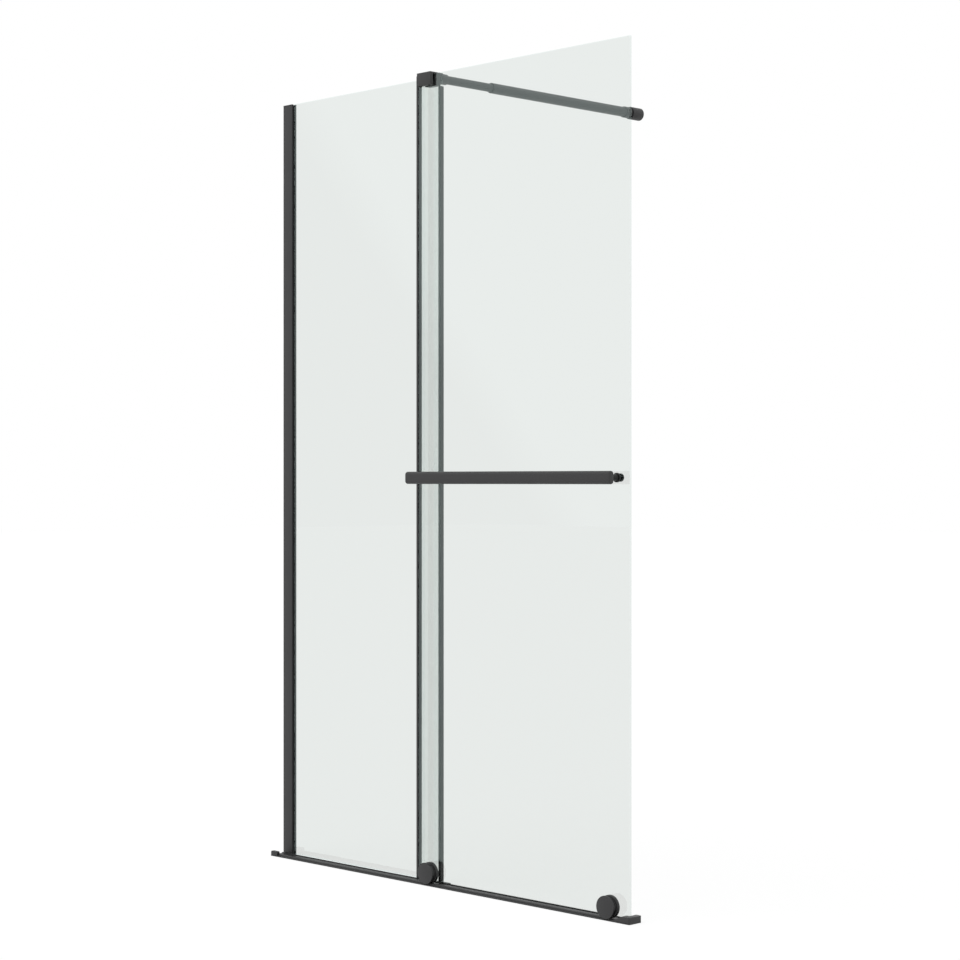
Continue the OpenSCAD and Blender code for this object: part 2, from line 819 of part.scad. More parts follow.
module bar_mouth_bush() {
    color(black) difference() {
        union() {
            rod_y(bar_x, bar_z, outer_start, outer_start + lip_t, bar_d);
            rod_y(bar_x, bar_z, outer_start + lip_t, outer_start + lip_t + bush_l,
                bar_d - 2*bar_t);
        }
        rod_y(bar_x, bar_z, outer_start - cut, outer_start + lip_t + bush_l + cut,
            inner_d + 2*run_gap);
        translate([bar_x, lock_y, bar_z - bar_d/2 - cut])
            cylinder(d = grub_d, h = bar_d/2);
    }
}

module bar_lock_screw() {
    color(steel) translate([bar_x, lock_y, bar_z - bar_d/2 + 0.2])
        cylinder(d = grub_d, h = bar_d/2 - inner_d/2 - 0.2 - free_gap);
}

// Collar, dark neck and cup, over the outer tube's end and the wall base
module wall_flange() {
    r = flange_d/2;
    tube_r = bar_d/2;
    neck_r = tube_r + 0.6;
    collar_r = tube_r + 1.7;
    edge = 0.8;
    neck_y = collar_l + neck_l;
    end = neck_y + flange_l;
    color(black) difference() {
        translate([bar_x, collar_y0, bar_z]) rotate([-90, 0, 0])
            rotate_extrude() polygon([
                [tube_r, 0], [collar_r - edge, 0], [collar_r, edge],
                [collar_r, collar_l], [neck_r, collar_l], [neck_r, neck_y],
                [r - edge, neck_y], [r, neck_y + edge], [r, end], [flange_base_r, end],
                [flange_base_r, end - base_t - 2], [tube_r, end - base_t - 2]]);
        translate([bar_x, bar_reach - base_t/2, bar_z - flange_d])
            cylinder(d = grub_d, h = flange_d);
    }
}

// Disc on the wall, with a hole for the wall screw
module wall_flange_base() {
    color(steel) difference() {
        rod_y(bar_x, bar_z, bar_reach - base_t, bar_reach, 2*flange_base_r);
        rod_y(bar_x, bar_z, bar_reach - base_t - cut, bar_reach + cut, flange_hole_d);
    }
}

module flange_grub_screw() {
    color(steel) translate([bar_x, bar_reach - base_t/2, bar_z - flange_d/2 + 0.4])
        cylinder(d = grub_d, h = flange_d/2 - flange_base_r - 0.4);
}

wall_profile();
wall_profile_cap();
glazing_profile();
glazing_screws();
glazing_gaskets();
glazing_foot_block();
fixed_glass();
fixed_edge_profile();
fixed_profile_tape();
fixed_seal_fin();
fixed_floor_gasket();
post_foot();
floor_rail();
floor_seal();
rail_wall_cap();
rail_end_stop();
guide_body();
guide_liners();
guide_pads();
guide_grub_screws();
bar_stud();
bar_sleeve();
sleeve_grub_screw();
bar_inner_tube();
bar_inner_bush();
sliding_glass();
sliding_edge_profile();
sliding_profile_plugs();
sliding_wiper_seal();
handle_tube();
handle_end_caps();
handle_standoffs();
handle_bolts();
handle_washers();
handle_bushes();
handle_cap_nuts();
roller_axles();
roller_washers();
roller_bushes();
roller_cap_nuts();
roller_end_screws();
wheel_body(wheel_xs[0]);  // roller_wheel_left
wheel_bearing(wheel_xs[0]);  // roller_bearing_left
wheel_face(wheel_xs[0]);  // roller_face_left
wheel_body(wheel_xs[1]);  // roller_wheel_right
wheel_bearing(wheel_xs[1]);  // roller_bearing_right
wheel_face(wheel_xs[1]);  // roller_face_right
bar_outer_tube();
bar_mouth_bush();
bar_lock_screw();
wall_flange();
wall_flange_base();
flange_grub_screw();
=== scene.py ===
import math

import bmesh
import bpy
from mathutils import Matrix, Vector


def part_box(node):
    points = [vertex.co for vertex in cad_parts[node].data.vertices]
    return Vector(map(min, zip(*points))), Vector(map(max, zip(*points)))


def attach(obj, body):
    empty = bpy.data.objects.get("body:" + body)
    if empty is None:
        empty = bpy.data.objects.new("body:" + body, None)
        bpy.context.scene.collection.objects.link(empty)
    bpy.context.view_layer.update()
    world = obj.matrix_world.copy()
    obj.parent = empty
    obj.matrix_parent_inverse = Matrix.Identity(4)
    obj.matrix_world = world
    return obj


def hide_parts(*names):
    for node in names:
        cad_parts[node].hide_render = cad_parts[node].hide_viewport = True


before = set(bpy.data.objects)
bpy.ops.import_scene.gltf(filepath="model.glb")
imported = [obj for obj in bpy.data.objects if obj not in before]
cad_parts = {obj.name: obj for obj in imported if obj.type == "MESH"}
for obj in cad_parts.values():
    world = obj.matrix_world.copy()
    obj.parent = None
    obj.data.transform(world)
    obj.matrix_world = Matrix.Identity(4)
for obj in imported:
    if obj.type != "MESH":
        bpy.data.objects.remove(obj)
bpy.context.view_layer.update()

bl_info = {
    "name": "Sliding shower screen",
    "version": (1, 0, 0),
    "blender": (4, 5, 0),
    "location": "3D View > Sidebar > Shower screen",
    "description": "Dresses the packed shower screen: profiles, panes, rail, wheels, handle "
                   "and bar",
    "category": "Object",
}

MM = 0.001
PAST = 1                # millimetres that a cutting shape goes past what it cuts
SHARP_DEGREES = 32      # a sharper edge than this isn't shaded smooth


def box_mm(node):
    """Lowest and highest corner of a CAD node, in millimetres."""
    low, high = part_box(node)
    return [c / MM for c in low], [c / MM for c in high]


def linear(hex_colour):
    """An sRGB hex colour as linear RGBA."""
    parts = [int(hex_colour[i:i + 2], 16) / 255 for i in (1, 3, 5)]
    return tuple(c / 12.92 if c <= 0.04045 else ((c + 0.055) / 1.055) ** 2.4
                 for c in parts) + (1.0,)


# What a user would change

class ScreenSizes(bpy.types.PropertyGroup):
    """Small sizes that only the looks have, in metres"""
    profile_edge: bpy.props.FloatProperty(
        name="Profile edge radius", description="Rounding of the extruded profiles' corners",
        default=0.8 * MM, unit="LENGTH")
    glass_arris: bpy.props.FloatProperty(
        name="Glass arris", description="Width of the ground chamfer round each pane",
        default=0.6 * MM, unit="LENGTH")
    block_edge: bpy.props.FloatProperty(
        name="Block edge radius",
        description="Rounding of the guide block and the rail's ends",
        default=0.8 * MM, unit="LENGTH")


class ScreenColours(bpy.types.PropertyGroup):
    """Colours as sRGB hex values"""
    powder: bpy.props.StringProperty(
        name="Powder coat", description="Matt black powder coat on aluminium",
        default="#29292A")
    # Deeper than the mouldings' own black: the extra depth is painted shade for the wheels'
    # dark sides
    moulding: bpy.props.StringProperty(
        name="Moulded black", description="Black acetal and ABS mouldings", default="#0F0F10")
    # Deeper than the fixings' own black: the extra depth is painted shade for the standoffs
    # behind the handle
    anodised: bpy.props.StringProperty(
        name="Black anodising", description="Turned fixings, dyed deep black",
        default="#0A0A0B")
    rubber: bpy.props.StringProperty(
        name="Rubber", description="Black rubber gaskets and seals", default="#161617")
    glass: bpy.props.StringProperty(
        name="Glass", description="What each face of a pane lets through", default="#F2F3F2")
    glass_edge: bpy.props.StringProperty(
        name="Glass edge", description="Ground edges of the panes", default="#F6F9F8")
    vinyl: bpy.props.StringProperty(
        name="Clear vinyl", description="Clear soft seals", default="#FBFCFC")
    reflection: bpy.props.StringProperty(
        name="Reflection", description="Tint of what glass and clear vinyl mirror",
        default="#EDFFFC")
    nylon: bpy.props.StringProperty(
        name="Nylon", description="Black nylon liners and bushes", default="#161617")
    steel: bpy.props.StringProperty(
        name="Stainless steel", description="Screws, axles and bearings", default="#B9BABB")
    floor: bpy.props.StringProperty(
        name="Floor", description="Pale studio floor", default="#F4F4F4")


# Nodes and finishes

NOISE_RANGE = (0.3, 0.7)    # nearly all of Blender's noise lies in it
NOISE_ROUGHNESS = 0.55


def add_node(tree, kind, values=None, links=None, **settings):
    """Adds a node, with its settings, its sockets' values and the links into it."""
    node = tree.nodes.new(kind)
    for name, value in settings.items():
        setattr(node, name, value)
    for name, value in (values or {}).items():
        node.inputs[name].default_value = value
    for name, source in (links or {}).items():
        tree.links.new(source, node.inputs[name])
    return node


def new_material(name):
    """A material without nodes, and its empty tree."""
    mat = bpy.data.materials.new(name)
    mat.use_nodes = True
    mat.node_tree.nodes.clear()
    return mat, mat.node_tree


def surface(tree, shader):
    """Joins the shader to the material's output."""
    add_node(tree, "ShaderNodeOutputMaterial", links={"Surface": shader.outputs[0]})


def grain(tree, size_mm, detail=2.0, stretch=(1, 1, 1)):
    """Noise on Object coordinates whose grain is size_mm across."""
    place = add_node(tree, "ShaderNodeMapping", {"Scale": stretch}, {
        "Vector": add_node(tree, "ShaderNodeTexCoord").outputs["Object"]})
    return add_node(tree, "ShaderNodeTexNoise", {
        "Scale": 1 / (size_mm * MM), "Detail": detail, "Roughness": NOISE_ROUGHNESS},
        {"Vector": place.outputs["Vector"]})


def between(tree, noise, low, high):
    """The noise's middle range mapped to low..high."""
    return add_node(tree, "ShaderNodeMapRange", {
        "From Min": NOISE_RANGE[0], "From Max": NOISE_RANGE[1], "To Min": low,
        "To Max": high}, {"Value": noise.outputs["Fac"]}).outputs["Result"]


def two_tones(tree, noise, colour, share):
    """The colour, a little darker or lighter where the noise says."""
    low = [c * (1 - share) for c in colour[:3]] + [1]
    high = [c * (1 + share) for c in colour[:3]] + [1]
    return add_node(tree, "ShaderNodeMix", {"A": low, "B": high},
                    {"Factor": noise.outputs["Fac"]}, data_type="RGBA").outputs["Result"]


def bumped(tree, noise, depth_mm, strength):
    """The normal over the noise's bumps, which are depth_mm high."""
    return add_node(tree, "ShaderNodeBump", {"Strength": strength, "Distance": depth_mm * MM},
                    {"Height": noise.outputs["Fac"]}).outputs["Normal"]


def opaque(name, colour, relief, depth_mm, strength, cloud, tones, roughness, **sockets):
    """A material that isn't see-through. relief is the grain of its bumps, cloud that of its
    colour and gloss, tones how much the colour varies, roughness its lowest and highest."""
    mat, tree = new_material(name)
    bumps, clouds = grain(tree, **relief), grain(tree, **cloud)
    surface(tree, add_node(tree, "ShaderNodeBsdfPrincipled", sockets, {
        "Base Color": two_tones(tree, clouds, linear(colour), tones),
        "Roughness": between(tree, clouds, *roughness),
        "Normal": bumped(tree, bumps, depth_mm, strength)}))
    return mat


def powder_coat(colours):
    """Matt black polyester powder on aluminium: a slightly cloudy gloss over a fine orange
    peel 1.2 mm across. It is too fine for the photograph's distance and shows close by."""
    return opaque(
        "matt_black_powder_coat", colours.powder, relief={"size_mm": 1.2}, depth_mm=0.06,
        strength=0.8, cloud={"size_mm": 60, "detail": 3}, tones=0.06,
        roughness=(0.42, 0.5), IOR=1.46)


def black_anodised(colours):
    """Turned aluminium, anodised black and darkened further as painted shade: tool rings under
    a satin gloss.
    """
    return opaque(
        "black_anodised_aluminium", colours.anodised,
        relief={"size_mm": 0.7, "stretch": (1, 0.15, 1)}, depth_mm=0.006, strength=0.4,
        cloud={"size_mm": 10}, tones=0.1, roughness=(0.24, 0.32), IOR=1.36)


def moulded_black(colours):
    """Black acetal and ABS from a polished mould, darkened further as painted shade: smooth,
    with a fine spark-eroded grain.
    """
    return opaque(
        "moulded_black_acetal", colours.moulding, relief={"size_mm": 0.6}, depth_mm=0.008,
        strength=0.5, cloud={"size_mm": 25}, tones=0.08, roughness=(0.36, 0.46), IOR=1.48)


def black_rubber(colours):
    """Extruded EPDM rubber: dull, with faint lines along the extrusion."""
    return opaque(
        "extruded_black_rubber", colours.rubber,
        relief={"size_mm": 0.8, "stretch": (1, 1, 0.02)}, depth_mm=0.02, strength=0.5,
        cloud={"size_mm": 15}, tones=0.12, roughness=(0.62, 0.74), IOR=1.52)


def black_nylon(colours):
    """Moulded nylon, dyed black: a soft, slightly uneven sheen."""
    return opaque(
        "moulded_black_nylon", colours.nylon, relief={"size_mm": 0.7}, depth_mm=0.006,
        strength=0.4, cloud={"size_mm": 8}, tones=0.1, roughness=(0.4, 0.52), IOR=1.53)


def turned_steel(colours):
    """Stainless steel, turned or cold-formed: fine tool marks round the axis."""
    return opaque(
        "turned_stainless_steel", colours.steel,
        relief={"size_mm": 0.5, "detail": 3, "stretch": (1, 0.1, 1)}, depth_mm=0.006,
        strength=0.4, cloud={"size_mm": 12}, tones=0.05, roughness=(0.25, 0.34),
        Metallic=1.0)


def clear_sheet(name, tint, reflection, roughness, ior):
    """A thin clear material: tinted where light goes through, a mirror by Fresnel's rule on
    the side that it enters. It bends no light, so edges don't go dark."""
    wave_mm, uneven = 90, 1.6
    mat, tree = new_material(name)
    shine = grain(tree, wave_mm)
    through = add_node(tree, "ShaderNodeBsdfTransparent", {"Color": linear(tint)})
    mirror = add_node(tree, "ShaderNodeBsdfGlossy", {"Color": linear(reflection)}, {
        "Roughness": between(tree, shine, roughness, roughness * uneven)})
    fresnel = add_node(tree, "ShaderNodeFresnel", {"IOR": ior})
    outside = add_node(tree, "ShaderNodeMath", {0: 1.0}, {
        1: add_node(tree, "ShaderNodeNewGeometry").outputs["Backfacing"]},
        operation="SUBTRACT")
    share = add_node(tree, "ShaderNodeMath", operation="MULTIPLY", links={
        0: fresnel.outputs["Fac"], 1: outside.outputs[0]})
    surface(tree, add_node(tree, "ShaderNodeMixShader", links={
        0: share.outputs[0], 1: through.outputs[0], 2: mirror.outputs[0]}))
    return mat


def toughened_glass(colours):
    """Clear float glass, toughened: flat and polished, with a faint green from its iron."""
    return clear_sheet("clear_toughened_glass", colours.glass, colours.reflection,
                       roughness=0.002, ior=1.75)


def ground_glass(colours):
    """The panes' ground edges: the same glass, with a dull gloss."""
    return clear_sheet("ground_glass_edge", colours.glass_edge, colours.reflection,
                       roughness=0.3, ior=1.5)


def clear_vinyl(colours):
    """Clear soft PVC seal: see-through, slightly milky."""
    return clear_sheet("clear_soft_vinyl", colours.vinyl, colours.reflection,
                       roughness=0.15, ior=1.4)


# Each finish with the record's slot that it belongs to
FINISHES = {
    "powder_coat": (powder_coat, "black_metal"),
    "anodised": (black_anodised, "black_metal"),
    "moulded_black": (moulded_black, "black_plastic"),
    "rubber": (black_rubber, "black_rubber"),
    "glass": (toughened_glass, "clear_glass"),
    "glass_edge": (ground_glass, "clear_glass"),
    "vinyl": (clear_vinyl, "clear_seal"),
    "nylon": (black_nylon, "nylon"),
    "steel": (turned_steel, "steel"),
}
made = {}


def finish(name):
    """The material of that finish, made once."""
    if name not in made:
        made[name] = FINISHES[name][0](bpy.context.scene.screen_colours)
    return made[name]


# Shapes, all sizes in millimetres

SMALL_ROUND, TUBE_ROUND, WHEEL_ROUND = 32, 72, 96   # sides of the circles they are made of
SIDE_SCREW = 1.6        # radius of the wall profile's side screws at their thread

# Where a point (u, v) of an outline lies, at the place t along each axis
PLACE = {
    "X": lambda u, v, t: (t, u, v),
    "Y": lambda u, v, t: (u, t, v),
    "Z": lambda u, v, t: (u, v, t),
}


def rectangle(u0, v0, u1, v1):
    """Its four corners, in order."""
    return [(u0, v0), (u1, v0), (u1, v1), (u0, v1)]


def rounded(corners, radii, steps=4):
    """The closed outline with each corner rounded to its radius, or all to one."""
    if not isinstance(radii, (list, tuple)):
        radii = [radii] * len(corners)
    outline = []
    for i, (corner, radius) in enumerate(zip(corners, radii)):
        here = Vector(corner)
        if radius <= 0:
            outline.append(tuple(here))
            continue
        back = (Vector(corners[i - 1]) - here).normalized()
        ahead = (Vector(corners[(i + 1) % len(corners)]) - here).normalized()
        half = back.angle(ahead) / 2
        middle = here + (back + ahead).normalized() * radius / math.sin(half)
        first = here + back * radius / math.tan(half) - middle
        last = here + ahead * radius / math.tan(half) - middle
        turn = first.angle_signed(last)
        for step in range(steps + 1):
            angle = -turn * step / steps
            c, s = math.cos(angle), math.sin(angle)
            outline.append((middle.x + c * first.x - s * first.y,
                            middle.y + s * first.x + c * first.y))
    return outline


def inset(outline, depth):
    """The outline moved inwards by depth."""
    area = sum(a[0] * b[1] - b[0] * a[1] for a, b in zip(outline, outline[1:] + outline[:1]))
    side = 1 if area > 0 else -1
    moved = []
    for i, corner in enumerate(outline):
        here = Vector(corner)
        one = (here - Vector(outline[i - 1])).normalized()
        two = (Vector(outline[(i + 1) % len(outline)]) - here).normalized()
        n1 = Vector((-one.y, one.x)) * side
        n2 = Vector((-two.y, two.x)) * side
        moved.append(tuple(here + (n1 + n2) * depth / (1 + n1.dot(n2))))
    return moved


def channel(low, high, web, side, radii):
    """Section of a channel that opens to the right, with the walls' thicknesses."""
    x0, x1, y0, y1 = low[0], high[0], low[1], high[1]
    return rounded(
        [(x0, y0), (x1, y0), (x1, y0 + side), (x0 + web, y0 + side),
         (x0 + web, y1 - side), (x1, y1 - side), (x1, y1), (x0, y1)], radii)


def oval(middle, half, depth, steps=24):
    """The handle's flat oval section, made smaller all round by depth."""
    radius, flat = half[0] - depth, half[1] - half[0]
    points = []
    for side in (1, -1):
        for i in range(steps + 1):
            angle = math.pi * i / steps + (0 if side > 0 else math.pi)
            points.append((middle[0] + radius * math.cos(angle),
                           middle[1] + side * flat + radius * math.sin(angle)))
    return points


def add_stack(bm, levels, axis):
    """A closed shape through outlines at their places along the axis."""
    rings = [[bm.verts.new([c * MM for c in PLACE[axis](u, v, t)]) for u, v in outline]
             for outline, t in levels]
    for low, high in zip(rings, rings[1:]):
        for i in range(len(low)):
            j = (i + 1) % len(low)
            bm.faces.new((low[i], low[j], high[j], high[i]))
    bm.faces.new(rings[0][::-1])
    bm.faces.new(rings[-1])


def add_prism(bm, outline, axis, start, end, chamfer=0.0):
    """The outline stretched along the axis, with chamfered ends."""
    levels = [(outline, start), (outline, end)]
    if chamfer:
        small = inset(outline, chamfer)
        levels = [(small, start), (outline, start + chamfer), (outline, end - chamfer),
                  (small, end)]
    add_stack(bm, levels, axis)


def add_lathe(bm, profile, centre, axis="Y", segments=64, hollow=False):
    """The profile, pairs of radius and place along the axis, turned round the centre."""
    rings = []
    for radius, along in profile:
        count = segments if radius > 0 else 1
        ring = []
        for i in range(count):
            angle = 2 * math.pi * i / segments
            u = centre[0] + radius * math.cos(angle)
            v = centre[1] + radius * math.sin(angle)
            ring.append(bm.verts.new([c * MM for c in PLACE[axis](u, v, along)]))
        rings.append(ring)
    pairs = list(zip(rings, rings[1:]))
    if hollow:
        pairs.append((rings[-1], rings[0]))
    for low, high in pairs:
        for i in range(segments):
            j = (i + 1) % segments
            ring = [low[i % len(low)], low[j % len(low)], high[j % len(high)],
                    high[i % len(high)]]
            face = [v for k, v in enumerate(ring) if v is not ring[k - 1]]
            if len(face) > 2:
                bm.faces.new(face)


def disc(radius, start, end, edge=0.4):
    """Profile of a solid round piece with chamfered rims."""
    return [(0, start), (radius - edge, start), (radius, start + edge), (radius, end - edge),
            (radius - edge, end), (0, end)]


def pipe(outer, inner, start, end, edge=0.3):
    """Profile of a ring or tube with chamfered outer rims."""
    return [(inner, start), (outer - edge, start), (outer, start + edge),
            (outer, end - edge), (outer - edge, end), (inner, end)]


def cap_nut(radius, start, end):
    """Profile of a low round nut with a softly domed face."""
    rim, shoulder, dome, steps = 0.3, 1.2, 0.9, 6
    profile = [(0, start), (radius - rim, start), (radius, start + rim),
               (radius, end - shoulder)]
    for i in range(1, steps + 1):
        angle = math.pi / 2 * i / steps
        profile.append((radius - shoulder * (1 - math.cos(angle)),
                        end - shoulder + dome * math.sin(angle)))
    return profile + [(radius * 0.5, end - 0.06), (0, end)]


def new_object(name, data):
    """A new object in the scene."""
    obj = bpy.data.objects.new(name, data)
    bpy.context.scene.collection.objects.link(obj)
    return obj


def discard(obj):
    """Takes a cutting shape or a template out again."""
    mesh = obj.data
    bpy.data.objects.remove(obj)
    bpy.data.meshes.remove(mesh)


def mesh_object(name, bm):
    """A new object of that shape, its faces outwards."""
    bmesh.ops.recalc_face_normals(bm, faces=bm.faces)
    mesh = bpy.data.meshes.new(name)
    bm.to_mesh(mesh)
    bm.free()
    return new_object(name, mesh)


def bake_modifiers(obj):
    """Turns the object's modifiers into its plain mesh."""
    graph = bpy.context.evaluated_depsgraph_get()
    mesh = bpy.data.meshes.new_from_object(obj.evaluated_get(graph))
    obj.modifiers.clear()
    old, obj.data = obj.data, mesh
    bpy.data.meshes.remove(old)


def combine(obj, bm, operation="DIFFERENCE"):
    """Cuts the shape away from the object, or joins it on."""
    tool = mesh_object(obj.name + "_tool", bm)
    step = obj.modifiers.new("tool", "BOOLEAN")
    step.object, step.operation, step.solver = tool, operation, "EXACT"
    bake_modifiers(obj)
    discard(tool)


def round_edges(obj, radius, segments):
    """Rounds the edges where faces meet at a clear angle."""
    clear_degrees = 40
    step = obj.modifiers.new("edges", "BEVEL")
    step.width, step.segments = radius * MM, segments
    step.limit_method, step.angle_limit = "ANGLE", math.radians(clear_degrees)
    step.use_clamp_overlap = True
    bake_modifiers(obj)


def settle(obj, finish_name, body, nodes):
    """Gives a shaped object its material and its body, and hides the CAD nodes that it stands
    for.
    """
    if not obj.data.materials:
        obj.data.materials.append(finish(finish_name))
    obj.data.shade_smooth()
    obj.data.set_sharp_from_angle(angle=math.radians(SHARP_DEGREES))
    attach(obj, body)
    if nodes:
        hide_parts(*nodes)


def piece(name, bm, finish_name, body, nodes):
    """A finished piece of that shape."""
    settle(mesh_object(name, bm), finish_name, body, nodes)


def extruded(name, node, section, axis, finish_name, body, chamfer=0.0, top=None):
    """A piece of one section, as long as its CAD node or up to top."""
    along = "XYZ".index(axis)
    start, end = (corner[along] for corner in box_mm(node))
    bm = bmesh.new()
    add_prism(bm, section, axis, start, top or end, chamfer)
    piece(name, bm, finish_name, body, [node])


def turned(name, nodes, profiles, centres, finish_name, body, segments=64, hollow=True):
    """A piece turned about Y, each profile round each centre."""
    bm = bmesh.new()
    for centre in centres:
        for profile in profiles:
            add_lathe(bm, profile, centre, "Y", segments, hollow)
    piece(name, bm, finish_name, body, nodes)


def glass_fixings(names, nodes, centres, bolt, washers, hole, sides, cap, washer_finish):
    """Washers before and behind the glass, bushes in its holes and cap nuts: names and
    nodes are of these three. The sizes are radii."""
    front, back = (corner[1] for corner in box_mm("sliding_glass"))
    low, high = box_mm(nodes[2])
    thick, edge = 0.8, 0.1
    turned(names[0], nodes[:1], [
        pipe(washers[0], bolt, front - thick, front, edge),
        pipe(washers[1], bolt, back, back + thick, edge)],
        centres, washer_finish, "sliding_panel")
    turned(names[1], nodes[1:2], [pipe(hole, bolt, front, back, edge)], centres, "nylon",
           "sliding_panel", sides)
    turned(names[2], nodes[2:], [cap_nut(cap, low[1], high[1])], centres, "anodised",
           "sliding_panel", hollow=False)


def softened(node, finish_name, body, edge, segments=2):
    """A copy of a CAD node with its flat faces made whole and its edges rounded."""
    same_point, flat_degrees = 0.004 * MM, 0.6
    bm = bmesh.new()
    bm.from_mesh(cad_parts[node].data)
    bmesh.ops.remove_doubles(bm, verts=bm.verts, dist=same_point)
    bmesh.ops.dissolve_limit(bm, angle_limit=math.radians(flat_degrees), verts=bm.verts,
                             edges=bm.edges)
    obj = mesh_object(node + "_dressed", bm)
    obj.data.materials.clear()
    round_edges(obj, edge, segments)
    settle(obj, finish_name, body, [node])


def plain(finish_name, *nodes):
    """CAD nodes that keep their own shape and get a finish."""
    for node in nodes:
        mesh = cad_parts[node].data
        mesh.materials.clear()
        mesh.materials.append(finish(finish_name))


def pane(name, node, body, arris, holes=()):
    """A pane with ground edges. holes are pairs of centre in X and Z and a diameter."""
    low, high = box_mm(node)
    corner_radius = 1.5
    outline = rounded(rectangle(low[0], low[2], high[0], high[2]), corner_radius)
    bm = bmesh.new()
    add_prism(bm, outline, "Y", low[1], high[1], arris)
    obj = mesh_object(name, bm)
    if holes:
        bm = bmesh.new()
        for centre, diameter in holes:
            add_lathe(bm, disc(diameter / 2, low[1] - PAST, high[1] + PAST), centre)
        combine(obj, bm)
    obj.data.materials.append(finish("glass"))
    obj.data.materials.append(finish("glass_edge"))
    polished = 0.9      # of a face's normal along Y; the ground faces lean more
    for face in obj.data.polygons:
        face.material_index = 0 if abs(face.normal.y) > polished else 1
    settle(obj, "glass", body, [node])


# Geometry nodes: a row of copies

def copy_row_tree():
    """A node group that puts copies of a template along a straight row."""
    tree = bpy.data.node_groups.new("row_of_copies", "GeometryNodeTree")
    for name, kind in (("Template", "Object"), ("Count", "Int"), ("First", "Vector"),
                       ("Step", "Vector"), ("Turn", "Vector"), ("Seed", "Int"),
                       ("Material", "Material")):
        tree.interface.new_socket(name, in_out="INPUT", socket_type="NodeSocket" + kind)
    tree.interface.new_socket("Geometry", in_out="OUTPUT",
                              socket_type="NodeSocketGeometry")
    given = add_node(tree, "NodeGroupInput").outputs
    shape = add_node(tree, "GeometryNodeObjectInfo", links={"Object": given["Template"]})
    row = add_node(tree, "GeometryNodeMeshLine", links={
        "Count": given["Count"], "Start Location": given["First"], "Offset": given["Step"]})
    back = add_node(tree, "ShaderNodeVectorMath", {"Scale": -1.0}, {0: given["Turn"]},
                    operation="SCALE")
    spin = add_node(tree, "FunctionNodeRandomValue", data_type="FLOAT_VECTOR", links={
        "Min": back.outputs["Vector"], "Max": given["Turn"], "Seed": given["Seed"]})
    copies = add_node(tree, "GeometryNodeInstanceOnPoints", links={
        "Points": row.outputs["Mesh"], "Instance": shape.outputs["Geometry"],
        "Rotation": spin.outputs["Value"]})
    real = add_node(tree, "GeometryNodeRealizeInstances", links={
        "Geometry": copies.outputs["Instances"]})
    painted = add_node(tree, "GeometryNodeSetMaterial", links={
        "Geometry": real.outputs["Geometry"], "Material": given["Material"]})
    add_node(tree, "NodeGroupOutput", links={"Geometry": painted.outputs["Geometry"]})
    return tree


def row_of_copies(name, template, count, first, step, turn, finish_name):
    """A plain mesh of copies of the template in a row, made by the node group. Each copy is
    turned at random by up to turn, in radians round each axis."""
    seed = 7
    tree = bpy.data.node_groups.get("row_of_copies") or copy_row_tree()
    obj = new_object(name, bpy.data.meshes.new(name))
    nodes = obj.modifiers.new("copies", "NODES")
    nodes.node_group = tree
    values = {"Template": template, "Count": count, "First": [c * MM for c in first],
              "Step": [c * MM for c in step], "Turn": turn, "Seed": seed,
              "Material": finish(finish_name)}
    for item in tree.interface.items_tree:
        if item.in_out == "INPUT":
            nodes[item.identifier] = values[item.name]
    obj.update_tag()
    bake_modifiers(obj)
    discard(template)
    return obj


# The pieces

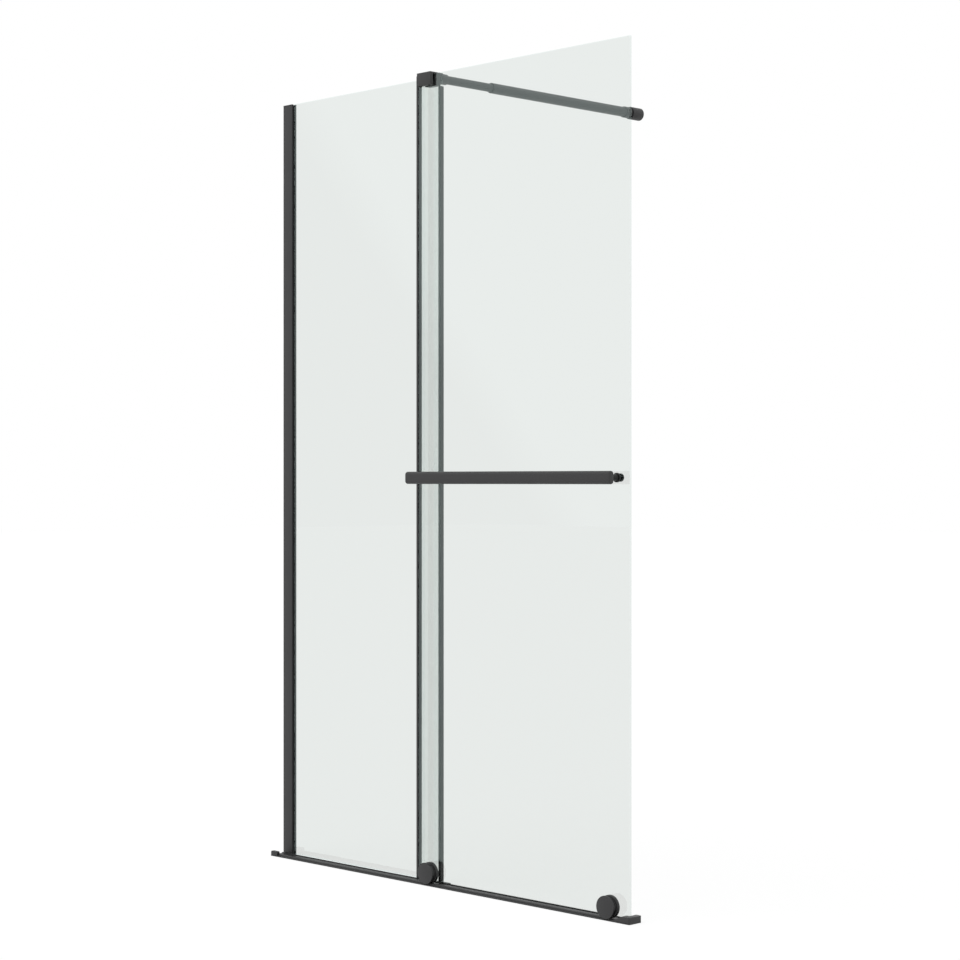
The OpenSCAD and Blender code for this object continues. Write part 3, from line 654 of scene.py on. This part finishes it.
class SHOWER_OT_wall_side(bpy.types.Operator):
    """Wall profile, glazing profile, their cap, gaskets, screws and foot block"""
    bl_idname = "shower_screen.wall_side"
    bl_label = "Wall side"

    def execute(self, context):
        edge = context.scene.screen_sizes.profile_edge / MM
        low, high = box_mm("wall_profile")
        web, side = 2.2, 1.6
        section = channel(low, high, web, side,
                          [edge, edge, 0.5, 0.4, 0.4, 0.5, edge, edge])
        bm = bmesh.new()
        add_prism(bm, section, "Z", low[2], high[2])
        wall_channel = mesh_object("wall_channel", bm)

        wall_hole, wall_hole_heights = 2.5, (150, 950, 1750)
        middle = (low[1] + high[1]) / 2
        bm = bmesh.new()
        for z in wall_hole_heights:
            add_lathe(bm, disc(wall_hole, low[0] - PAST, low[0] + web + PAST, 0),
                      (middle, z), "X", SMALL_ROUND)
        heads = box_mm("glazing_screws")
        head = heads[1][0] - heads[0][0]
        screw_x = (heads[0][0] + heads[1][0]) / 2
        first_z, last_z = heads[0][2] + head / 2, heads[1][2] - head / 2
        for z in (first_z, (first_z + last_z) / 2, last_z):
            add_lathe(bm, disc(SIDE_SCREW, high[1] - side - PAST, high[1] + PAST, 0),
                      (screw_x, z), "Y", SMALL_ROUND)
        combine(wall_channel, bm)
        settle(wall_channel, "powder_coat", "frame", ["wall_profile"])

        low, high = box_mm("glazing_profile")
        wall = 1.5
        section = channel(low, high, wall, wall, [0.5, 0.6, 0.3, 0.3, 0.3, 0.3, 0.6, 0.5])
        extruded("glazing_channel", "glazing_profile", section, "Z", "powder_coat", "frame",
                 0.2)

        softened("wall_profile_cap", "moulded_black", "frame", 0.35)
        softened("glazing_foot_block", "moulded_black", "frame", 0.4)
        self.gaskets()
        self.screws(heads, screw_x, first_z, last_z)
        return {"FINISHED"}

    def gaskets(self):
        """Two strips with a rounded bead at the channel's mouth."""
        low, high = box_mm("glazing_gaskets")
        thick, bead = 1, 0.45
        bm = bmesh.new()
        for y0, y1 in ((low[1], low[1] + thick), (high[1] - thick, high[1])):
            section = rounded(rectangle(low[0], y0, high[0], y1), [0, bead, bead, 0])
            add_prism(bm, section, "Z", low[2], high[2])
        piece("glazing_gasket_strips", bm, "rubber", "frame", ["glazing_gaskets"])

    def screws(self, heads, x, first_z, last_z):
        """Pan head screws with a cross recess, on the inner side of the wall profile."""
        tip, top = heads[0][1], heads[1][1]
        seat = box_mm("wall_profile")[1][1]
        radius = (heads[1][0] - heads[0][0]) / 2
        slot, slot_long, slot_deep = 0.55, radius * 0.9, 1.2
        bm = bmesh.new()
        add_lathe(bm, [(0, tip), (SIDE_SCREW, tip), (SIDE_SCREW, seat), (radius, seat),
                       (radius, seat + 0.8), (radius * 0.8, top - 0.25),
                       (radius * 0.4, top), (0, top)], (0, 0), "Y", SMALL_ROUND)
        template = mesh_object("screw_template", bm)
        for wide, tall in ((slot_long, slot), (slot, slot_long)):
            section = rectangle(-wide / 2, top - slot_deep, wide / 2, top + PAST)
            bm = bmesh.new()
            add_prism(bm, rounded(section, 0), "Z", -tall / 2, tall / 2)
            combine(template, bm)
        step = (last_z - first_z) / 2
        row = row_of_copies("profile_screws", template, 3, (x, 0, first_z), (0, 0, step),
                            (0, math.pi, 0), "steel")
        settle(row, "steel", "frame", ["glazing_screws"])


class SHOWER_OT_panes(bpy.types.Operator):
    """Both panes, with ground edges and drilled holes"""
    bl_idname = "shower_screen.panes"
    bl_label = "Panes"

    def execute(self, context):
        arris = context.scene.screen_sizes.glass_arris / MM
        pane("fixed_pane", "fixed_glass", "frame", arris)
        holes = []
        for node, diameter in (("handle_bushes", 12), ("roller_bushes", 16)):
            low, high = box_mm(node)
            z = (low[2] + high[2]) / 2
            for x in (low[0] + diameter / 2, high[0] - diameter / 2):
                holes.append(((x, z), diameter))
        pane("sliding_pane", "sliding_glass", "sliding_panel", arris, holes)
        return {"FINISHED"}


class SHOWER_OT_fixed_edge(bpy.types.Operator):
    """Edge profile of the fixed pane, its seal fin, tape and foot"""
    bl_idname = "shower_screen.fixed_edge"
    bl_label = "Fixed edge"

    def execute(self, context):
        low, high = box_mm("fixed_edge_profile")
        x0, x1, y0, y1 = low[0], high[0], low[1], high[1]
        wall, clearance = 1.4, 0.15
        section = rounded(
            [(x0, y0), (x1, y0), (x1, y1), (x0, y1), (x0, y1 - wall), (x1 - wall, y1 - wall),
             (x1 - wall, y0 + wall), (x0, y0 + wall)],
            [0.4, 0.8, 0.8, 0.4, 0.3, 0.2, 0.2, 0.3])
        # It goes up to the guide block, so that no light shows between them
        top = box_mm("guide_body")[0][2] - clearance
        extruded("fixed_edge_channel", "fixed_edge_profile", section, "Z", "powder_coat",
                 "frame", 0.2, top)

        low, high = box_mm("fixed_seal_fin")
        foot_thick, fin_thick = 0.8, 1.2
        root, fin_x = high[1] - foot_thick, low[0] + 0.5
        section = rounded(
            [(low[0], high[1]), (low[0], root), (fin_x, root), (fin_x, low[1]),
             (fin_x + fin_thick, low[1]), (fin_x + fin_thick, root), (high[0], root),
             (high[0], high[1])],
            [0.1, 0.2, 0.3, 0.5, 0.5, 0.3, 0.2, 0.1], 3)
        extruded("clear_seal_fin", "fixed_seal_fin", section, "Z", "vinyl", "frame")

        low, high = box_mm("fixed_floor_gasket")
        lean = 0.3
        section = rounded([(low[1], low[2]), (high[1], low[2]), (high[1] - lean, high[2]),
                           (low[1] + lean, high[2])], 0.4, 3)
        extruded("clear_floor_strip", "fixed_floor_gasket", section, "X", "vinyl", "frame")
        plain("rubber", "fixed_profile_tape")
        softened("post_foot", "powder_coat", "frame", 0.5, 3)
        return {"FINISHED"}


class SHOWER_OT_rail(bpy.types.Operator):
    """Floor rail with its rib, seal strip, end stop and wall cap"""
    bl_idname = "shower_screen.rail"
    bl_label = "Floor rail"

    def execute(self, context):
        low, high = box_mm("floor_rail")
        s_low, s_high = box_mm("floor_seal")
        top, front_edge = 3.0, 1
        groove = s_low[2]
        section = rounded(
            [(low[1], 0), (high[1], 0), (high[1], top), (s_high[1], top), (s_high[1], groove),
             (s_low[1], groove), (s_low[1], top), (low[1] + front_edge, top),
             (low[1], top - front_edge)],
            [0.2, 0.2, 0.2, 0, 0, 0, 0, 0.5, 0.5], 3)
        bm = bmesh.new()
        add_prism(bm, section, "X", low[0], high[0])
        rail = mesh_object("rail_extrusion", bm)

        # The rib that the wheels run on: upright flanks under a round back
        rib_y, rib, rib_root, steps = low[1] + 7, 3.0, 1, 16
        rib_start, stop_gap = 26, 0.3
        spring = high[2] - rib
        section = [(rib_y - rib, top - rib_root), (rib_y + rib, top - rib_root)]
        for i in range(steps + 1):
            angle = math.pi * i / steps
            section.append((rib_y + rib * math.cos(angle), spring + rib * math.sin(angle)))
        bm = bmesh.new()
        add_prism(bm, section, "X", rib_start, box_mm("rail_end_stop")[0][0] - stop_gap, 0.2)
        combine(rail, bm, "UNION")
        settle(rail, "powder_coat", "frame", ["floor_rail"])

        section = rounded(rectangle(s_low[1], s_low[2], s_high[1], s_high[2]),
                          [0, 0, 1.2, 0.6])
        extruded("rail_seal_strip", "floor_seal", section, "X", "rubber", "frame")
        edge = context.scene.screen_sizes.block_edge / MM
        softened("rail_end_stop", "powder_coat", "frame", edge, 3)
        softened("rail_wall_cap", "powder_coat", "frame", edge, 3)
        return {"FINISHED"}


class SHOWER_OT_guide(bpy.types.Operator):
    """Guide block with its liners, pads and grub screws"""
    bl_idname = "shower_screen.guide"
    bl_label = "Guide block"

    def execute(self, context):
        edge = context.scene.screen_sizes.block_edge / MM
        softened("guide_body", "powder_coat", "frame", edge, 3)
        softened("guide_liners", "nylon", "frame", 0.2)
        plain("rubber", "guide_pads")
        plain("steel", "guide_grub_screws", "bar_stud")
        return {"FINISHED"}


class SHOWER_OT_bar(bpy.types.Operator):
    """Telescopic bar: sleeve, both tubes, bushes, screws and wall flange"""
    bl_idname = "shower_screen.bar"
    bl_label = "Wall bar"

    def execute(self, context):
        low, high = box_mm("bar_inner_tube")
        axis = [((low[0] + high[0]) / 2, (low[2] + high[2]) / 2)]
        inner, wall = (high[0] - low[0]) / 2, 1.2
        turned("inner_tube", ["bar_inner_tube"], [pipe(inner, inner - wall, low[1], high[1])],
               axis, "powder_coat", "frame", TUBE_ROUND)

        s_low, s_high = box_mm("bar_sleeve")
        outer = (s_high[0] - s_low[0]) / 2
        thread, seat = 4, low[1]
        turned("sleeve", ["bar_sleeve"], [[
            (thread, s_low[1]), (outer - 0.4, s_low[1]), (outer, s_low[1] + 0.4),
            (outer, s_high[1] - 1), (outer - 0.3, s_high[1] - 0.3), (outer - 1, s_high[1]),
            (inner + 0.4, s_high[1]), (inner, s_high[1] - 0.4), (inner, seat),
            (thread, seat)]], axis, "powder_coat", "frame", TUBE_ROUND)

        o_low, o_high = box_mm("bar_outer_tube")
        turned("outer_tube", ["bar_outer_tube"],
               [pipe(outer, outer - wall, o_low[1], o_high[1], 0.15)], axis, "powder_coat",
               "bar_outer", TUBE_ROUND)

        m_low, m_high = box_mm("bar_mouth_bush")
        play = 0.05
        bore = inner + play
        turned("mouth_bush", ["bar_mouth_bush"], [[
            (bore + 0.3, m_low[1]), (outer - 0.5, m_low[1]), (outer, m_low[1] + 0.5),
            (outer, o_low[1]), (outer - wall, o_low[1]), (outer - wall, m_high[1]),
            (bore, m_high[1]), (bore, m_low[1] + 0.3)]], axis, "moulded_black", "bar_outer",
            TUBE_ROUND)
        self.flange(outer, axis)
        plain("nylon", "bar_inner_bush")
        self.set_screws()
        return {"FINISHED"}

    def flange(self, tube, axis):
        """The cup over the tube's end, its rubber ring, and the base on the wall."""
        low, high = box_mm("wall_flange")
        b_low, b_high = box_mm("wall_flange_base")
        cup, base, base_hole = (high[0] - low[0]) / 2, (b_high[0] - b_low[0]) / 2, 2.75
        collar, neck = tube + 1.7, tube + 0.6
        y1, y2 = low[1] + 17, low[1] + 23       # the groove between collar and cup
        shoulder = b_low[1] - 2
        turned("wall_flange_cup", ["wall_flange"], [[
            (tube, low[1]), (collar - 0.6, low[1]), (collar - 0.15, low[1] + 0.2),
            (collar, low[1] + 0.6), (collar, y1 - 0.3), (collar - 0.3, y1), (neck, y1),
            (neck, y2), (cup - 0.8, y2), (cup - 0.2, y2 + 0.2), (cup, y2 + 0.8),
            (cup, high[1] - 0.2), (cup - 0.2, high[1]), (base, high[1]), (base, shoulder),
            (tube, shoulder)]], axis, "powder_coat", "bar_outer", TUBE_ROUND)
        ring, gap = 0.6, 0.1
        turned("flange_groove_ring", [], [pipe(neck + ring, neck, y1 + gap, y2 - gap)], axis,
               "rubber", "bar_outer", TUBE_ROUND)
        turned("wall_flange_disc", ["wall_flange_base"],
               [pipe(base, base_hole, b_low[1], b_high[1])], axis, "steel", "bar_outer",
               TUBE_ROUND)

    def set_screws(self):
        """Hexagon socket set screws in the sleeve, the outer tube and the flange."""
        socket, socket_deep, socket_point = 1.15, 1.2, 1.4
        for name, node, body in (("sleeve_set_screw", "sleeve_grub_screw", "frame"),
                                 ("lock_set_screw", "bar_lock_screw", "bar_outer"),
                                 ("flange_set_screw", "flange_grub_screw", "bar_outer")):
            low, high = box_mm(node)
            centre = ((low[0] + high[0]) / 2, (low[1] + high[1]) / 2)
            bm = bmesh.new()
            add_lathe(bm, disc((high[0] - low[0]) / 2, low[2], high[2], 0.25), centre, "Z",
                      SMALL_ROUND)
            screw = mesh_object(name, bm)
            bm = bmesh.new()
            add_lathe(bm, [(0, low[2] - PAST), (socket, low[2] - PAST),
                           (socket, low[2] + socket_deep), (0, low[2] + socket_point)],
                      centre, "Z", 6)
            combine(screw, bm)
            settle(screw, "steel", body, [node])


class SHOWER_OT_sliding_edge(bpy.types.Operator):
    """Edge profile of the sliding pane, its plugs and clear wiper"""
    bl_idname = "shower_screen.sliding_edge"
    bl_label = "Sliding edge"

    def execute(self, context):
        low, high = box_mm("sliding_edge_profile")
        g_low, g_high = box_mm("sliding_glass")
        x0, x1, y0, y1 = low[0], high[0], low[1], high[1]
        section = rounded(
            [(x0, y0), (x1, y0), (x1, g_low[1]), (g_low[0], g_low[1]),
             (g_low[0], g_high[1]), (x1, g_high[1]), (x1, y1), (x0, y1)],
            [0.7, 0.4, 0.2, 0, 0, 0.2, 0.7, 0.7])
        extruded("sliding_edge_extrusion", "sliding_edge_profile", section, "Z",
                 "powder_coat", "sliding_panel")

        p_low, p_high = box_mm("sliding_profile_plugs")
        bm = bmesh.new()
        for z0, z1 in ((p_low[2], low[2]), (high[2], p_high[2])):
            add_prism(bm, section, "Z", z0, z1, 0.15)
        piece("sliding_edge_plugs", bm, "moulded_black", "sliding_panel",
              ["sliding_profile_plugs"])

        low, high = box_mm("sliding_wiper_seal")
        middle, tip = (low[0] + high[0]) / 2, 0.35
        foot, waist = low[1] + 2, low[1] + 4
        section = rounded(
            [(low[0], low[1]), (high[0], low[1]), (high[0], foot), (middle + tip, waist),
             (middle + tip, high[1]), (middle - tip, high[1]), (middle - tip, waist),
             (low[0], foot)], [0, 0, 0.6, 0.6, 0.3, 0.3, 0.6, 0.6])
        extruded("clear_wiper", "sliding_wiper_seal", section, "Z", "vinyl",
                 "sliding_panel")
        return {"FINISHED"}


class SHOWER_OT_handle(bpy.types.Operator):
    """Handle tube, end caps, standoffs and their fixings through the glass"""
    bl_idname = "shower_screen.handle"
    bl_label = "Handle"

    def execute(self, context):
        low, high = box_mm("handle_tube")
        middle = ((low[1] + high[1]) / 2, (low[2] + high[2]) / 2)
        half = ((high[1] - low[1]) / 2, (high[2] - low[2]) / 2)
        wall, bolt, bolt_head = 1.5, 3, 5.0
        bm = bmesh.new()
        add_prism(bm, oval(middle, half, 0), "X", low[0], high[0], 0.1)
        tube = mesh_object("handle_bar", bm)
        bm = bmesh.new()
        add_prism(bm, oval(middle, half, wall), "X", low[0] - PAST, high[0] + PAST)
        combine(tube, bm)
        b_low, b_high = box_mm("handle_bolts")
        centres = [(x, middle[1]) for x in (b_low[0] + bolt_head, b_high[0] - bolt_head)]
        bm = bmesh.new()
        for centre in centres:
            add_lathe(bm, disc(bolt, middle[0], high[1] + PAST, 0), centre, "Y",
                      SMALL_ROUND)
        combine(tube, bm)
        settle(tube, "powder_coat", "sliding_panel", ["handle_tube"])
        self.end_plugs(low, high, middle, half, wall)
        self.standoffs(centres, middle, half)
        glass_fixings(
            ("handle_clear_washers", "handle_hole_bushes", "handle_inner_caps"),
            ("handle_washers", "handle_bushes", "handle_cap_nuts"), centres, bolt,
            washers=(10.5, 9), hole=6, sides=48, cap=9, washer_finish="vinyl")
        plain("steel", "handle_bolts")
        return {"FINISHED"}

    def end_plugs(self, low, high, middle, half, wall):
        """A plug in each end of the tube, with a rounded rim."""
        c_low, c_high = box_mm("handle_end_caps")
        play, deep, steps = 0.05, 6, 8
        bm = bmesh.new()
        for seat, end in ((low[0], c_low[0]), (high[0], c_high[0])):
            out = 1 if end > seat else -1
            rim = abs(end - seat)
            levels = [(wall + play, seat - out * deep), (wall + play, seat), (0, seat)]
            for i in range(1, steps + 1):
                angle = math.pi / 2 * i / steps
                levels.append((rim * (1 - math.cos(angle)),
                               seat + out * rim * math.sin(angle)))
            add_stack(bm, [(oval(middle, half, depth), x) for depth, x in levels], "X")
        piece("handle_end_plugs", bm, "powder_coat", "sliding_panel", ["handle_end_caps"])

    def standoffs(self, centres, middle, half):
        """Turned stems with a round pad on the glass, cut to the tube's back."""
        low, high = box_mm("handle_standoffs")
        pad, stem, pad_thick, past_stem = (high[2] - low[2]) / 2, 7.0, 4.5, 20
        tube, glass = middle[0], high[1]
        face = glass - pad_thick
        bm = bmesh.new()
        for centre in centres:
            add_lathe(bm, [(0, tube), (stem, tube), (stem, face - 0.8),
                           (stem + 0.25, face - 0.25), (stem + 0.8, face),
                           (pad - 0.6, face), (pad, face + 0.6), (pad, glass - 0.2),
                           (pad - 0.2, glass), (0, glass)], centre)
        stems = mesh_object("handle_stems", bm)
        bm = bmesh.new()
        for x, _ in centres:
            add_prism(bm, oval(middle, half, 0), "X", x - past_stem, x + past_stem)
        combine(stems, bm)
        # Their near-black finish is partly painted shade: they sit in the handle's shadow
        settle(stems, "anodised", "sliding_panel", ["handle_standoffs"])


class SHOWER_OT_wheels(bpy.types.Operator):
    """Both grooved wheels with face plates, bearings, axles and fixings"""
    bl_idname = "shower_screen.wheels"
    bl_label = "Wheels"

    def execute(self, context):
        centres = [self.wheel(side, "roller_" + side) for side in ("left", "right")]
        glass_fixings(
            ("wheel_washers", "wheel_hole_bushes", "wheel_inner_caps"),
            ("roller_washers", "roller_bushes", "roller_cap_nuts"), centres, bolt=4,
            washers=(10, 10), hole=8, sides=64, cap=10, washer_finish="rubber")
        plain("steel", "roller_axles", "roller_end_screws")
        return {"FINISHED"}

    def wheel(self, side, body):
        """One wheel's grooved body, face plate and bearing. Returns its centre."""
        low, high = box_mm("roller_wheel_" + side)
        f_low, f_high = box_mm("roller_face_" + side)
        b_low, b_high = box_mm("roller_bearing_" + side)
        centre = ((low[0] + high[0]) / 2, (low[2] + high[2]) / 2)
        r = (high[0] - low[0]) / 2
        pocket, pocket_deep, hub = 11.0, 9.5, 6.0
        root, groove, slope = 21.3, 9.0, 1.2
        y0, y1 = low[1], high[1]
        flange = y0 + groove
        # The body's near-black moulding is partly painted shade: its sides stand in for deep
        # shadow
        turned("wheel_body_" + side, ["roller_wheel_" + side], [[
            (pocket, y0), (r - 1.2, y0), (root + 0.6, y0 + slope * 0.75),
            (root, y0 + slope + 0.5), (root, flange - slope - 0.5),
            (root + 0.6, flange - slope * 0.75), (r - 0.6, flange - 0.15),
            (r - 0.1, flange + 0.15), (r, flange + 0.6), (r, y1 - 0.8), (r - 0.2, y1 - 0.25),
            (r - 0.8, y1), (hub, y1), (hub, y0 + pocket_deep), (pocket, y0 + pocket_deep)]],
            [centre], "moulded_black", body, WHEEL_ROUND)

        y0 = f_low[1]
        plate, spigot, recess = y0 + 4.5, 6.5, 1
        turned("wheel_face_" + side, ["roller_face_" + side], [[
            (0, y0), (r - 2.4, y0), (r - 2.0, y0 + 0.12), (r - 1.6, y0), (r - 0.9, y0),
            (r - 0.3, y0 + 0.25), (r, y0 + 0.9), (r, plate - 0.5), (r - 0.4, plate),
            (pocket, plate), (pocket, f_high[1]), (spigot, f_high[1]),
            (spigot, plate - recess), (0, plate - recess)]],
            [centre], "powder_coat", body, WHEEL_ROUND, hollow=False)

        # Outer race, shield and inner race as one closed ring with two shallow steps
        y0, y1, step = b_low[1], b_high[1], 0.4
        bore, inner_race, outer_race = 4, 5.8, 9.6
        turned("wheel_bearing_" + side, ["roller_bearing_" + side], [[
            (bore, y0), (inner_race, y0), (6, y0 + step), (9.4, y0 + step), (outer_race, y0),
            (pocket, y0), (pocket, y1), (outer_race, y1), (9.4, y1 - step), (6, y1 - step),
            (inner_race, y1), (bore, y1)]], [centre], "steel", body)
        return centre


# The stage

WHITE = (1, 1, 1, 1)
CAMERA_PLACE, CAMERA_HEADING = (4.268, -3.511, 0.947), 45.405   # metres, degrees
SENSOR, LENS = 36, 81.19            # millimetres
SHIFT_Y = 1 / 960                   # one pixel of the photograph


class SHOWER_OT_stage(bpy.types.Operator):
    """Pale floor, soft studio light and the camera"""
    bl_idname = "shower_screen.stage"
    bl_label = "Stage"

    def execute(self, context):
        context.scene.view_settings.view_transform = "Standard"
        self.floor(context.scene.screen_colours)
        self.world(context.scene)
        self.lamp()
        self.camera(context.scene)
        return {"FINISHED"}

    def seen(self, tree):
        """1 for the rays that show the background: the camera's, through glass or mirrored."""
        rays = add_node(tree, "ShaderNodeLightPath").outputs
        direct = add_node(tree, "ShaderNodeMath", operation="MAXIMUM", links={
            0: rays["Is Camera Ray"], 1: rays["Is Transmission Ray"]})
        return add_node(tree, "ShaderNodeMath", operation="MAXIMUM", links={
            0: direct.outputs[0], 1: rays["Is Glossy Ray"]}).outputs[0]

    def along(self, tree, direction, low, high, **settings):
        """A value that grows along the direction. low and high are pairs: how far along a
        ray goes, from -1 to 1, and the value there."""
        way = add_node(tree, "ShaderNodeTexCoord").outputs["Generated"]
        far = add_node(tree, "ShaderNodeVectorMath", {1: direction}, {0: way},
                       operation="DOT_PRODUCT")
        return add_node(tree, "ShaderNodeMapRange", {
            "From Min": low[0], "To Min": low[1], "From Max": high[0], "To Max": high[1]},
            {"Value": far.outputs["Value"]}, **settings).outputs["Result"]

    def floor(self, colours):
        """A wide pale floor just under the part. Where it is seen it glows as well, so that
        it goes over into the white behind."""
        half, drop, glow_strength, glow_share = 30, 0.2 * MM, 1.06, 0.84
        mesh = bpy.data.meshes.new("studio_floor")
        mesh.from_pydata([(x, y, 0) for x, y in rectangle(-half, -half, half, half)], [],
                         [(0, 1, 2, 3)])
        floor = new_object("studio_floor", mesh)
        floor.location.z = -drop
        mat, tree = new_material("pale_studio_floor")
        paint = add_node(tree, "ShaderNodeBsdfDiffuse", {"Color": linear(colours.floor)})
        glow = add_node(tree, "ShaderNodeEmission", {
            "Color": WHITE, "Strength": glow_strength})
        share = add_node(tree, "ShaderNodeMath", {1: glow_share}, {0: self.seen(tree)},
                         operation="MULTIPLY")
        surface(tree, add_node(tree, "ShaderNodeMixShader", links={
            0: share.outputs[0], 1: paint.outputs[0], 2: glow.outputs[0]}))
        mesh.materials.append(mat)

    def world(self, scene):
        """White behind the object, and brighter from the front left than from the right."""
        world = bpy.data.worlds.new("studio_world")
        world.use_nodes = True
        tree = world.node_tree
        tree.nodes.clear()
        soft = self.along(tree, (-0.47, -0.80, 0.37), (-0.4, 0.3), (0.9, 1.0),
                          interpolation_type="SMOOTHSTEP")
        level = add_node(tree, "ShaderNodeMix", {"B": 1.0},
                         {"Factor": self.seen(tree), "A": soft})
        # A large bright panel that only reflections see. Its edge slants down across the
        # panes as a faint step, as in the photograph
        panel = self.along(tree, (0.609, -0.585, 0.536), (-0.01, 0.0), (0.01, 0.3))
        mirrored = add_node(tree, "ShaderNodeMath", operation="MULTIPLY", links={
            0: panel, 1: add_node(tree, "ShaderNodeLightPath").outputs["Is Glossy Ray"]})
        total = add_node(tree, "ShaderNodeMath", operation="ADD", links={
            0: level.outputs["Result"], 1: mirrored.outputs[0]})
        white = add_node(tree, "ShaderNodeBackground", {"Color": WHITE},
                         {"Strength": total.outputs[0]})
        add_node(tree, "ShaderNodeOutputWorld", links={"Surface": white.outputs[0]})
        scene.world = world

    def lamp(self):
        """One very soft sun from the front left and above. It lights the floor evenly."""
        strength, spread_degrees, aim = 0.7, 50, Vector((0.35, 0.75, -0.95))
        light = bpy.data.lights.new("soft_sun", "SUN")
        light.energy, light.angle = strength, math.radians(spread_degrees)
        sun = new_object("soft_sun", light)
        sun.rotation_euler = aim.to_track_quat("-Z", "Y").to_euler()
        sun.visible_glossy = False
        sun.visible_transmission = False

    def camera(self, scene):
        """The photograph's viewpoint: level, 45 degrees round to the right."""
        data = bpy.data.cameras.new("camera")
        data.sensor_width, data.lens, data.shift_y = SENSOR, LENS, SHIFT_Y
        data.clip_end = 100
        camera = new_object("camera", data)
        camera.location = CAMERA_PLACE
        camera.rotation_euler = (math.radians(90), 0, math.radians(CAMERA_HEADING))
        scene.camera = camera


class SHOWER_PT_panel(bpy.types.Panel):
    """Lists the steps that dress the shower screen"""
    bl_idname = "SHOWER_PT_panel"
    bl_label = "Shower screen"
    bl_space_type = "VIEW_3D"
    bl_region_type = "UI"
    bl_category = "Shower screen"

    def draw(self, context):
        """The sizes and colours, and a button for each step."""
        for group in (context.scene.screen_sizes, context.scene.screen_colours):
            for prop in group.bl_rna.properties:
                if prop.identifier not in ("rna_type", "name"):
                    self.layout.prop(group, prop.identifier)
        for operator in OPERATORS:
            self.layout.operator(operator.bl_idname)


OPERATORS = (
    SHOWER_OT_stage, SHOWER_OT_wall_side, SHOWER_OT_panes, SHOWER_OT_fixed_edge,
    SHOWER_OT_rail, SHOWER_OT_guide, SHOWER_OT_bar, SHOWER_OT_sliding_edge,
    SHOWER_OT_handle, SHOWER_OT_wheels,
)
CLASSES = (ScreenSizes, ScreenColours) + OPERATORS + (SHOWER_PT_panel,)


def register():
    """Makes the classes and the scene's two groups of values known to Blender."""
    for cls in CLASSES:
        bpy.utils.register_class(cls)
    bpy.types.Scene.screen_sizes = bpy.props.PointerProperty(type=ScreenSizes)
    bpy.types.Scene.screen_colours = bpy.props.PointerProperty(type=ScreenColours)


def unregister():
    """Takes them away again."""
    del bpy.types.Scene.screen_colours
    del bpy.types.Scene.screen_sizes
    for cls in reversed(CLASSES):
        bpy.utils.unregister_class(cls)


def main():
    """Runs every step in order."""
    register()
    for operator in OPERATORS:
        group, name = operator.bl_idname.split(".")
        getattr(getattr(bpy.ops, group), name)()


if __name__ == "__main__":
    main()
